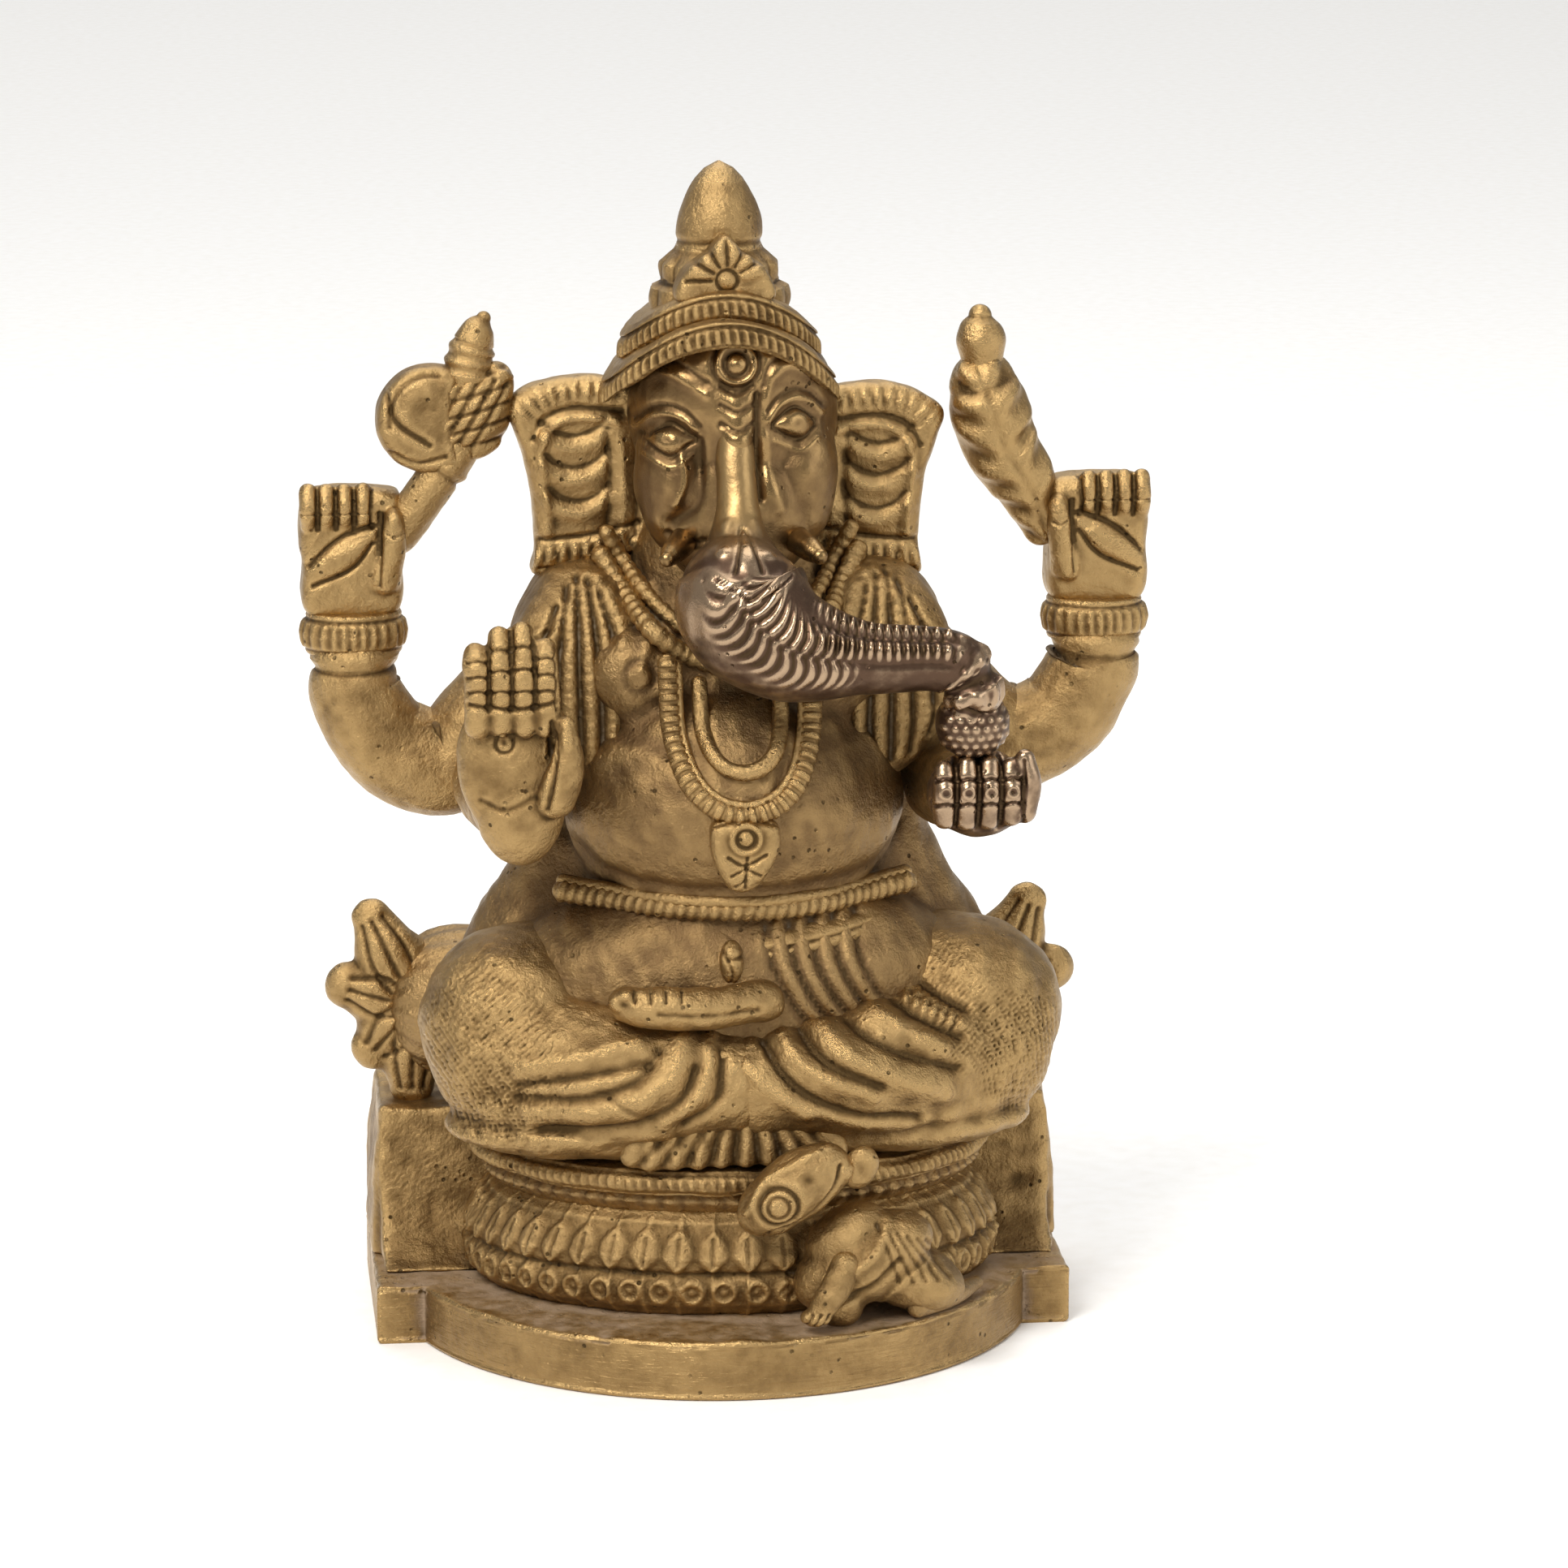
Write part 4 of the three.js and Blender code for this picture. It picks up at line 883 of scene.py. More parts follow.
def hung_on_torso(x, z, proud):
    """How far forward the torso's front is at points (x, z), found as the foremost vertex nearby."""
    verts = np.empty(len(bpy.data.objects["torso_cast"].data.vertices) * 3, np.float32)
    bpy.data.objects["torso_cast"].data.vertices.foreach_get("co", verts)
    verts = verts.reshape(-1, 3) / MM
    verts = verts[verts[:, 1] < 2]
    y = np.array(
        [verts[((verts[:, [0, 2]] - (a, b)) ** 2).sum(1) < 1.2][:, 1].min(initial=2) for a, b in zip(x, z)]
    )
    return y - proud


def evened(values):
    """Each value's mean with its two neighbours on either side."""
    return np.convolve(np.pad(values, 2, "edge"), np.ones(5) / 5, "valid")


def make_necklaces(sizes):
    """Cords that hang as a flattened arch on the chest, notched all round, over the pendant's plate."""
    for node, name, half, drop, r, pitch in (
        ("necklace_outer", "necklace_outer_cast", 6.9, 0.6, 1.0, 1.05),
        ("necklace_inner", "necklace_inner_cast", 3.9, 0.55, 0.8, 0.0),
    ):
        low, high = span(node)
        angle = np.linspace(-math.pi / 2, math.pi / 2, 15)
        x, z = half * np.sin(angle), high[2] - 1.4 - (high[2] - low[2] - 1.8) * np.cos(angle) ** drop
        y = evened(hung_on_torso(x, z, 0.15))
        relief = (
            lambda s, a, p=pitch: 0.2 * np.sign(np.cos(TURN * s / p)) * np.clip(np.cos(a), 0, 1)
        ) if pitch else None
        cord = tube(np.column_stack([x, y, z, np.full(15, r)]), 0.1 if pitch else 0.3, 28, relief)
        if pitch:
            cord = together(
                cord,
                tube(
                    np.column_stack([x * 0.86, y - 0.1, z + 1.0 * np.cos(angle), np.full(15, 0.42)]), 0.3,
                    20,
                ),
            )
        place(name, roughened(cord, 55, 0.08), node, "worn_brass")
    m = mid("pendant")
    y = hung_on_torso(np.array([0.0]), np.array([m[2] + 1]), 0)[0]
    plate = pad(
        [
            (m[0] - 3.3, m[2] + 2.2), (m[0] - 1.6, m[2] + 2.7), (m[0] + 0.4, m[2] + 2.7),
            (m[0] + 3.0, m[2] + 2.2), (m[0] + 3.1, m[2] - 0.6), (m[0] + 1.2, m[2] - 3.6),
            (m[0] - 0.4, m[2] - 4.4), (m[0] - 2.0, m[2] - 3.6), (m[0] - 3.3, m[2] - 0.6),
        ],
        y + 2.2, y - 1.5, 1.1,
    )
    eye = on("pendant", (-0.1, 1.0))
    marks = (
        hoop(eye, 1.35, 0.24, 0.35), spot(eye, (0.55, 0.55), 0.35), hoop(eye, 0.85, 0.18, -0.25),
        line(on("pendant", (-3, 2.4), (0, 2.9), (3, 2.4)), 0.3, -0.3),
        line(on("pendant", (-1.8, -0.8), (-0.2, -1.6), (1.8, -0.6)), 0.2, -0.35),
        line(on("pendant", (0, -0.9), (-0.2, -3.8)), 0.18, -0.35),
        line(on("pendant", (-0.1, -1.9), (-1.5, -2.6)), 0.16, -0.3),
        line(on("pendant", (-0.1, -1.9), (1.3, -2.6)), 0.16, -0.3),
        line(on("pendant", (-0.2, -3), (-1.1, -3.7)), 0.16, -0.3),
    )
    place(
        "pendant_plate", carved(fused(FINE_CELL, 3, plate), *marks, seed=57, uneven=0.07), "pendant",
        "worn_brass",
    )


def make_bands(sizes):
    """The neck bands and the belt's two rolls: limbs laid on the torso's front, with ticks on them."""
    bands = []
    z = mid("neck_collar")[2]
    for lift, r in ((0.0, 0.95), (2.2, 0.75)):
        x = np.array([-12.4, -10.6, -8.0, -4.5, 0, 4.5, 8.0, 10.6, 12.4])
        zz = np.array([6.2, 3.2, 0.2, -2.4, -3.6, -2.4, 0.2, 3.2, 6.2]) + z + lift
        bands.append(
            tube(
                np.column_stack([x * (1 - lift * 0.02), hung_on_torso(x, zz, 0.1), zz, np.full(9, r)]),
                0.16, 24, lambda s, a: 0.08 * np.cos(TURN * s / 1.1),
            )
        )
    place("neck_bands", roughened(together(*bands), 58, 0.12), "neck_collar", "brass")
    low, high = span("belt")
    x = np.linspace(-1, 1, 13) * (high[0] - 0.4)
    rolls = []
    for lift, r, tick in ((1.3, 1.05, 0.1), (high[2] - low[2] - 0.8, 0.65, 0.0)):
        z = low[2] + lift + 0.6 * (x / high[0]) ** 2
        y = evened(hung_on_torso(x, z, 0.0))
        rolls.append(
            tube(
                np.column_stack([x, y, z, np.full(13, r)]), 0.16, 32,
                lambda s, a, t=tick: t * np.cos(TURN * s / sizes.mm("rim_tick") + 0.9 * a),
            )
        )
    place("ribbed_belt", roughened(together(*rolls), 59, 0.16), "belt", "brass")


def make_locks(sizes):
    """The hair on the shoulders: a rounded pad with upright strands, each cut as a herringbone."""
    for side, node in ((-1, "right_shoulder_locks"), (1, "left_shoulder_locks")):
        low, high = span(node)
        m = (low + high) / 2
        s = side
        edge = [
            (-4.4, -7.6), (-4.6, 5), (-3.6, 10.4), (0.6, 12.0), (5.0, 10.4), (8.0, 4.4), (7.6, -3.6),
            (3.4, -7.6), (0, -9),
        ]
        verts, tris = pad([(m[0] + s * x, m[2] + z) for x, z in edge], high[1], low[1] - 2.0, 2.4)
        verts[:, 1] += 0.045 * np.clip(verts[:, 2] - m[2] - 1, 0, None) ** 2 + 0.04 * np.clip(
            np.abs(verts[:, 0] - m[0]) - 2.5, 0, None,
        ) ** 2
        body = (verts, tris)
        marks = []
        for x in (-3.6, -1.5, 0.6, 2.7, 4.8, 6.8):
            path = [
                (s * (0.5 * x + 0.3), 11.0 - 0.1 * x * x), (s * (0.85 * x + 0.2), 4.5), (s * x, -1.5),
                (s * 0.92 * x, -6.4 + 0.1 * x * x),
            ]
            marks.append(line(on(node, *path), 0.7, 0.55))
            marks.append(line(on(node, *path), 0.45, 0.18, 0.9))
            marks.append(line(on(node, *[(a + s * 1.05, b) for a, b in path]), 0.32, -0.55))
        place(
            node + "_cast", carved(fused(FOLD_CELL, 4, body), *marks, seed=61 + side, uneven=0.2), node,
            "brass",
        )


# ---- Arms and hands ---------------------------------------------------------------------------


def make_rear_arms(sizes):
    """Each rear arm: a limb from the shoulder round the elbow up to a ticked bracelet over a thin ring."""
    for side, node, band in ((-1, "axe_arm", "axe_bracelet"), (1, "bud_arm", "bud_bracelet")):
        low, high = span(node)
        y, x = (low[1] + high[1]) / 2 - 0.6, abs(mid(band)[0])
        top, bottom = high[2], low[2]
        s = side
        path = [
            (s * 15.6, y - 0.4, top - 4.4, 4.8), (s * 21, y, top - 9.6, 5.1),
            (s * (x - 9.2), y + 0.2, bottom + 5.6, 5.2), (s * (x - 3.4), y, bottom + 7.4, 4.9),
            (s * (x - 0.3), y - 0.4, bottom + 12.4, 4.5), (s * x, y - 0.6, mid(band)[2] - 3.0, 4.1),
        ]
        arm = tube(path, 0.3, 90)
        verts, tris = arm
        ring_z = top - 4.9
        n = normals(verts, tris)
        bead = 0.5 * np.exp(-(((verts[:, 2] - ring_z) / 0.5) ** 2)) - 0.35 * np.exp(
            -(((verts[:, 2] - ring_z + 1.1) / 0.35) ** 2)
        )
        bead = np.where(np.abs(verts[:, 0]) > x - 7, bead, 0)
        place(node + "_cast", roughened((verts + n * bead[:, None], tris), 65 + side, 0.22), node, "brass")
        low, high = span(band)
        half, h = (high - low)[:2] / 2, high[2] - low[2]

        def ticks(w, z):
            """Upright cuts round the middle of the band, which stop short of two smooth rims."""
            cut = 0.11 * np.cos(TURN * w / 1.15 + 1.5 * np.sin(w * 0.7)) * (
                np.exp(-(((z - h / 2) / (0.3 * h)) ** 4))
            )
            return cut - 0.25 * np.exp(
                -(((z - 0.84 * h) / 0.22) ** 2)
            ) - 0.2 * np.exp(-(((z - 0.14 * h) / 0.2) ** 2))

        ring = turned(
            ((low + high)[0] / 2, (low + high)[1] / 2, low[2]), half,
            [(0.3, 0), (0.88, 0), (0.98, 0.2 * h), (1.02, 0.5 * h), (0.98, 0.8 * h), (0.88, h), (0.3, h)],
            0.14, 260, ticks,
        )
        place(band + "_cast", roughened(ring, 67 + side, 0.12), band, "worn_brass")


def make_rear_hands(sizes):
    """Each raised rear hand: a palm, four short curled fingers and an upright thumb."""
    for side, node in ((-1, "axe_hand"), (1, "bud_hand")):
        low, high = span(node)
        m = (low + high) / 2
        s = -side  # towards the figure's middle
        f = low[1]
        corners = [
            (m[0] - 4.0, low[2] - 0.8), (m[0] + 4.0, low[2] - 0.8), (m[0] + 4.9, low[2] + 5),
            (m[0] + 4.9, high[2] - 2.2), (m[0] + 3.6, high[2] - 0.5), (m[0] - 3.6, high[2] - 0.5),
            (m[0] - 4.9, high[2] - 2.2), (m[0] - 4.9, low[2] + 5),
        ]
        palm = pad(corners, high[1], f + 0.9, 1.6)
        parts, marks = [palm], []
        for k in range(4):
            x = m[0] - s * 4.15 + s * k * 1.75
            parts.append(
                tube(
                    [
                        (x, f + 1.5, m[2] + 2.3, 0.86), (x, f + 0.8, m[2] + 3.6, 0.92),
                        (x, f + 1.4, high[2] - 0.55, 0.85),
                    ],
                    0.2, 24,
                )
            )
            marks.append(line([(x - 0.7, m[2] + 3.5), (x + 0.7, m[2] + 3.5)], 0.16, -0.28))
            marks.append(line([(x + s * 0.88, m[2] + 1.9), (x + s * 0.88, high[2] + 0.4)], 0.2, -0.45))
            marks.append(spot((x, m[2] + 4.9), (0.5, 0.6), 0.18))
        parts.append(
            tube(
                [
                    (m[0] + s * 3.2, f + 1.4, m[2] - 3.2, 1.5), (m[0] + s * 3.9, f + 0.7, m[2] + 0.4, 1.25),
                    (m[0] + s * 4.0, f + 0.9, m[2] + 3.0, 1.05),
                ],
                0.2, 28,
            )
        )
        marks += [
            spot(on(node, (s * 4.0, 3.0)), (0.55, 0.85), 0.25, 4),
            line(on(node, (s * 3.3, 1.6), (s * 4.0, 1.3), (s * 4.7, 1.5)), 0.15, -0.25),
            line(on(node, (s * 2.4, -3.6), (s * 2.5, 0), (s * 2.7, 3.4)), 0.28, -0.55),
            spot(on(node, (-s * 1.0, -0.9)), (2.9, 1.15), 0.75, 3, s * 0.55),
            line(on(node, (-s * 4.2, -1.6), (-s * 1.2, 1.0), (s * 2.2, 2.2)), 0.26, -0.55),
            line(on(node, (-s * 3.8, -3.6), (0, -1.9), (s * 2.0, 0.5)), 0.26, -0.5),
        ]
        place(
            node + "_cast", carved(fused(HAND_CELL, 4, *parts), *marks, seed=69 + side, uneven=0.12), node,
            "worn_brass",
        )


def make_axe(sizes):
    """The axe: a haft, a bound socket, a crescent blade and a ringed spike."""
    haft = tube(
        by("axe_haft", (-3.4, 0.6, -3.4, 2.3), (-0.6, 0.2, 0.4, 2.1), (2.2, 0.4, 4.4, 2.2)), 0.2, 44,
        lambda s, a: -0.25 * np.exp(-(((s - 7.0) / 0.3) ** 2)) + 0.2 * np.exp(-(((s - 7.9) / 0.4) ** 2)),
    )
    place("axe_haft_cast", roughened(haft, 71, 0.16), "axe_haft", "brass")
    m = mid("axe_socket")
    body = fused(
        HAND_CELL, 5, egg(m, (4.2, 3.1, 4.9), 0.35), egg(m + (2.0, 0, 1.2), (2.3, 2.8, 3.6), 0.3),
        egg(m + (-2.0, 0, -1.6), (2.5, 2.7, 3.0)),
    )
    marks = []
    for k in range(-2, 3):
        marks.append(
            line(
                on("axe_socket", (-3.0 + k * 1.4, -3.6 - k * 0.3), (1.0 + k * 1.4, 3.4 - k * 0.3)), 0.28,
                -0.42,
            )
        )
        marks.append(line(on("axe_socket", (-3.8, k * 1.7 - 0.9), (3.8, k * 1.7 + 0.9)), 0.26, -0.36))
    marks += [
        line(on("axe_socket", (-3.6, -3.4), (0, -4.4), (3.0, -3.2)), 0.4, 0.5),
        line(on("axe_socket", (-1.2, 4.0), (1.6, 4.6), (4.0, 3.2)), 0.35, 0.4),
    ]
    place("axe_binding", carved(body, *marks, seed=72, uneven=0.12), "axe_socket", "worn_brass")
    low, high = span("axe_blade")
    m = (low + high) / 2
    arc = np.linspace(0.34, 1.66, 12) * math.pi
    centre = (m[0] + 1.9, m[2])
    corners = [
        (centre[0] + 5.4 * math.cos(a), centre[1] - 0.4 + 5.2 * math.sin(a))
        for a in arc
    ] + [(centre[0] + 2.2, centre[1] - 2), (centre[0] + 2.2, centre[1] + 2)]
    marks = [
        line([(centre[0] + r * math.cos(a), centre[1] + r * math.sin(a)) for a in arc[first:last]], w, h)
        for r, w, h, first, last in ((4.2, 0.32, -0.35, 1, 7), (2.6, 0.9, 0.4, 2, 10))
    ]
    marks.append(
        line(
            [
                (centre[0] - 4.6, centre[1] + 2.4), (centre[0] - 3.4, centre[1] - 0.4),
                (centre[0] - 0.4, centre[1] - 2.6),
            ],
            0.35, -0.55,
        )
    )
    marks.append(
        line(
            [
                (centre[0] - 4.2, centre[1] - 3.4), (centre[0] - 1.6, centre[1] - 4.4),
                (centre[0] + 1.2, centre[1] - 3.8),
            ],
            0.3, -0.4,
        )
    )
    blade = fused(HAND_CELL, 4, pad(corners, high[1], low[1], 1.5))
    place("axe_crescent", carved(blade, *marks, seed=73, uneven=0.14), "axe_blade", "worn_brass")
    spike = tube(
        by("axe_spike", (-0.9, 0, -3.2, 2.5), (-0.5, 0, -0.9, 2.2), (0.2, 0, 1.2, 1.55), (0.7, 0, 2.2, 0.7)),
        0.12, 40, lambda s, a: 0.13 * np.cos(TURN * s / 1.25) * (s < 3.2),
    )
    place("axe_spike_cast", roughened(spike, 74, 0.08), "axe_spike", "worn_brass")


def make_bud(sizes):
    """The lotus bud: a stem with two columns of lobes, and a smooth egg that sits in a cup at its top."""

    def lobes(s, a):
        """Two columns of crescents that lean up and out from a groove down the front."""
        row = np.cos(TURN * (s - 1.5 * np.abs(a)) / 3.3)
        return 0.3 * row * np.exp(
            -(((np.abs(a) - 0.8) / 0.55) ** 2)
        ) - 0.18 * np.exp(-((a / 0.16) ** 2)) + 0.1

    stem = tube(
        by(
            "bud_stem", (3.6, 0.2, -7.4, 1.9), (2.0, 0.1, -3.4, 3.0), (-0.6, 0.1, 0.6, 3.6),
            (-1.8, 0.1, 4.6, 3.7), (-2.4, 0.1, 6.6, 3.1),
        ),
        0.14, 120, lobes,
    )
    place("bud_stem_cast", roughened(stem, 75, 0.14), "bud_stem", "worn_brass")
    tip = tube(
        by("bud_tip", (0.2, 0, -2.2, 2.1), (0.1, 0, -0.4, 2.45), (0, 0, 1.0, 2.0), (0, 0, 1.9, 1.15)), 0.14,
        48,
    )
    place("bud_tip_cast", roughened(tip, 76, 0.08), "bud_tip", "worn_brass")


def make_front_arms(sizes):
    """Each front arm: an upper arm down from the shoulder and a forearm straight out to the hand, fused."""
    for side, node, hand in ((-1, "blessing_arm", "blessing_hand"), (1, "sweet_arm", "sweet_hand")):
        low, high = span(node)
        s, elbow = side, low[2] + 5.2
        reach = span(hand)[1][1] - 1.6
        upper = tube(
            [
                (s * 15.4, 2.4, high[2] - 7.4, 4.9), (s * 19.8, 1.2, high[2] - 12, 5.4),
                (s * 21.7, -0.4, elbow, 5.2),
            ],
            0.5, 60,
        )
        fore = tube(
            [(s * 21.7, -0.6, elbow, 5.0), (s * 21.9, reach, elbow + 0.9, 3.7)], 0.5, 60, ref=(0, 0, 1),
        )
        marks = (
            line(on(node, (s * -2, 5.2), (s * 2.5, 3.9), (s * 6.8, 5.2)), 0.5, 0.45, 0.9),
            line(on(node, (s * -2, 3.9), (s * 2.5, 2.6), (s * 6.8, 3.9)), 0.3, -0.4),
        )
        place(
            node + "_cast", carved(fused(0.3, 8, upper, fore), *marks, seed=77 + side, uneven=0.22), node,
            "brass",
        )


def make_blessing_hand(sizes):
    """The open hand: a palm and a heel, four upright fingers cut at each joint, and a leaf-like thumb."""
    node = "blessing_hand"
    low, high = span(node)
    m = (low + high) / 2
    f = low[1]
    root = m[2] + 4.0  # where the fingers leave the palm
    parts = [
        egg(m + (0, 0.8, -2.0), (5.6, 2.8, 7.6)),
        egg(m + (0.4, 0.9, -6.6), (4.2, 3.1, 5.6)),
        tube(
            [
                (m[0] + 3.6, f + 2.6, m[2] - 5.2, 1.9), (m[0] + 4.7, f + 2.0, m[2] - 1.6, 1.6),
                (m[0] + 4.6, f + 1.7, m[2] + 2.0, 0.9),
            ],
            0.25, 32,
        ),
    ]
    marks = [
        spot((m[0] + 4.6, m[2] + 1.0), (0.55, 1.1), 0.3, 4),
        line([(m[0] + 2.6, m[2] - 6), (m[0] + 3.2, m[2] - 2.6), (m[0] + 3.3, m[2] + 2.3)], 0.3, -0.7),
    ]
    for k in range(4):
        x = m[0] - 3.7 + k * 2.15
        top = high[2] - 1.2 - (2.2, 0.6, 0.2, 1.8)[k]
        parts.append(
            tube(
                [
                    (x + 0.1, f + 2.4, root - 2.0, 1.3), (x, f + 2.2, m[2] + 7.5, 1.25),
                    (x, f + 3.1, top, 1.15),
                ],
                0.25, 28,
            )
        )
        for j in range(3):
            z = root + 1.3 + j * (top - root - 0.3) / 3
            marks.append(line([(x - 0.95, z), (x, z + 0.2), (x + 0.95, z)], 0.2, -0.4))
        marks.append(line([(x + 1.07, root - 0.4), (x + 1.07, high[2] + 0.5)], 0.2, -0.35))
    eye = (m[0] - 1.2, m[2] + 0.2)
    marks += [
        hoop(eye, 0.85, 0.2, -0.3), spot(eye, (0.3, 0.3), -0.2),
        line([(m[0] - 4.6, root + 0.2), (m[0], root - 0.3), (m[0] + 3.8, root + 0.3)], 0.25, -0.5),
        line([(m[0] - 3.4, m[2] - 5.5), (m[0] - 1.2, m[2] - 6.2), (m[0] + 1.6, m[2] - 5.0)], 0.35, -0.25),
    ]
    place(
        "blessing_hand_cast", carved(fused(HAND_CELL, 4, *parts), *marks, seed=81, uneven=0.13), node,
        "dull_brass",
    )


def make_sweet_hand(sizes):
    """The cupped hand: four fingers curled over its front and a thumb. The sweet in it: a knobbed ball."""
    node = "sweet_hand"
    low, high = span(node)
    m = (low + high) / 2
    f = low[1]
    parts = [egg(m + (0.1, 0.6, -0.4), (5.0, 3.0, 4.3))]
    marks = []
    for k in range(4):
        x, bow = m[0] - 3.5 + k * 2.15, 0.35 * (k - 1.5) ** 2
        parts.append(
            tube(
                [
                    (x * 0.98 + m[0] * 0.02, f + 2.2, m[2] - 2.6 + 0.4 * bow, 1.05),
                    (x, f + 1.2 + 0.3 * bow, m[2] + 0.3, 1.2),
                    (x, f + 1.9 + 0.3 * bow, m[2] + 2.9 - 0.5 * bow, 0.95),
                ],
                0.2, 28,
            )
        )
        for z in (-0.9, 1.6):
            marks.append(line([(x - 0.9, m[2] + z), (x, m[2] + z + 0.25), (x + 0.9, m[2] + z)], 0.18, -0.4))
        marks.append(hoop((x, m[2] + 0.5), 0.5, 0.17, 0.2))
        marks.append(line([(x + 1.07, m[2] - 3.4), (x + 1.07, m[2] + 3.4)], 0.2, -0.42))
    parts.append(
        tube(
            [
                (m[0] + 4.2, f + 2.2, m[2] - 1.8, 1.2), (m[0] + 4.7, f + 1.8, m[2] + 1.0, 1.15),
                (m[0] + 4.2, f + 1.8, m[2] + 3.3, 0.95),
            ],
            0.2, 28,
        )
    )
    place(
        "sweet_hand_cast", carved(fused(HAND_CELL, 4, *parts), *marks, seed=83, uneven=0.13), node,
        "dull_brass",
    )
    m = mid("sweet")
    low, high = span("sweet")
    r = (high[0] - low[0]) / 2
    bumps = [
        spot(on("sweet", (0.95 * i + 0.45 * (j % 2), 0.85 * j)), (0.34, 0.34), 0.32)
        for i in range(-3, 4) for j in range(-3, 4)
    ]
    place(
        "sweet_ball", carved(fused(HAND_CELL, 2, egg(m, (r + 0.2, r, r))), *bumps, seed=85, uneven=0.15),
        "sweet", "dull_brass",
    )


# ---- Head and crown ---------------------------------------------------------------------------


def make_head(sizes):
    """The head: skull, cheeks, brow and muzzle fused, with eyes, brows and forehead marks chased in."""
    node = "head"
    m = mid(node)
    parts = (
        egg(m + (0, 0.4, 3.4), (10.1, 9.3, 10.4)),
        egg(m + (0, -2.6, -5.0), (7.9, 6.9, 8.8)),
        egg(m + (-5.6, -2.4, -1.6), (4.2, 5.4, 8.2)),
        egg(m + (5.6, -2.4, -1.6), (4.2, 5.4, 8.2)),
        egg(m + (-0.4, -5.9, 0.6), (2.4, 3.6, 9.0)),
        egg(m + (0, -3.8, 8.2), (7.4, 4.6, 4.2)),
    )
    shell = fused(HEAD_CELL, 9, *parts)
    tilak = on(node, (-0.45, 9.3))
    marks = [
        hoop(tilak, 1.75, 0.3, 0.45), hoop(tilak, 1.15, 0.24, -0.4), spot(tilak, (0.62, 0.62), 0.45),
        hoop(tilak, 2.3, 0.28, -0.35),
        *[
            line(on(node, (-2.0, z + 0.5), (-0.45, z - 0.15), (1.1, z + 0.5)), 0.3, -0.42)
            for z in (6.7, 5.0, 3.2)
        ],
        line(on(node, (-0.55, 2.0), (-0.4, -1.8), (-0.35, -5.8)), 1.25, 0.75),
        line(on(node, (-4.3, 2.4), (-4.0, -1.1), (-4.4, -4.0), (-6.5, -6.0)), 0.6, -0.6),
        line(on(node, (-5.7, 0.8), (-5.4, -1.9), (-6.1, -4.2)), 0.4, 0.4),
        line(on(node, (1.55, 6.4), (1.5, 1.5), (1.7, -3.4)), 0.42, -0.8),
        line(on(node, (2.3, 2.2), (2.6, -1.2), (3.6, -4.5)), 0.7, 0.35),
        line(on(node, (-6.8, -7.2), (-5.4, -8.1), (-3.6, -7.6)), 0.4, -0.5),
        line(on(node, (-10, 6.2), (-7, 8.3), (-3.4, 6.4)), 0.55, 0.45),
        line(on(node, (-10, 7.3), (-7, 9.5), (-3.2, 7.6)), 0.3, -0.28),
        line(on(node, (2.3, 6.0), (3.0, 8.0), (4.8, 8.9), (7.6, 7.8)), 0.55, 0.45),
        line(on(node, (2.1, 7.2), (2.8, 9.2), (4.8, 10.1), (7.8, 9.0)), 0.3, -0.28),
    ]
    for ex, ez, half, tilt in ((-7.0, 1.9, (1.7, 1.15), -0.1), (5.5, 3.4, (1.65, 1.25), 0.1)):
        eye = on(node, (ex, ez))
        marks += [
            spot(eye, (half[0] * 1.9, half[1] * 2.3), -1.3, 2, tilt),
            spot(eye, half, 1.35, 3.2, tilt),
            line(on(node, (ex - 2.3, ez + 0.1), (ex, ez + 1.5), (ex + 2.3, ez + 0.1)), 0.22, -0.45),
            line(on(node, (ex - 2.3, ez - 0.3), (ex, ez - 1.5), (ex + 2.3, ez - 0.3)), 0.22, -0.42),
            line(
                on(
                    node, (ex - 2.8, ez + 0.5), (ex - 1.6, ez + 1.9), (ex, ez + 2.4), (ex + 1.6, ez + 1.9),
                    (ex + 2.8, ez + 0.6),
                ),
                0.36, 0.45,
            ),
            line(
                on(
                    node, (ex - 2.9, ez + 1.4), (ex - 1.6, ez + 2.8), (ex, ez + 3.3), (ex + 1.6, ez + 2.8),
                    (ex + 2.9, ez + 1.5),
                ),
                0.26, -0.3,
            ),
            line(on(node, (ex - 2.2, ez - 1.5), (ex + 0.2, ez - 2.5), (ex + 2.2, ez - 1.5)), 0.3, 0.25),
            spot(on(node, (ex + 0.1, ez + 0.1)), (0.5, 0.5), -0.1),
        ]
    place("head_cast", carved(shell, *marks, seed=91, uneven=0.14), node, "dull_brass")
    for side, name, notch in ((-1, "right_tusk", -1), (1, "left_tusk", 1)):
        tm = mid(name)
        tusk = tube(
            [
                (tm[0] - side * 1.0, tm[1] + 2, tm[2] + 0.5, 1.35),
                (tm[0] + side * 0.2, tm[1] - 0.6, tm[2] - 0.1, 1.2),
                (tm[0] + side * 0.9, tm[1] - 2.0, tm[2] - 0.5, 0.8),
            ],
            0.15, 30,
        )
        place(name + "_cast", roughened(tusk, 93 + side, 0.07), name, "dull_brass")


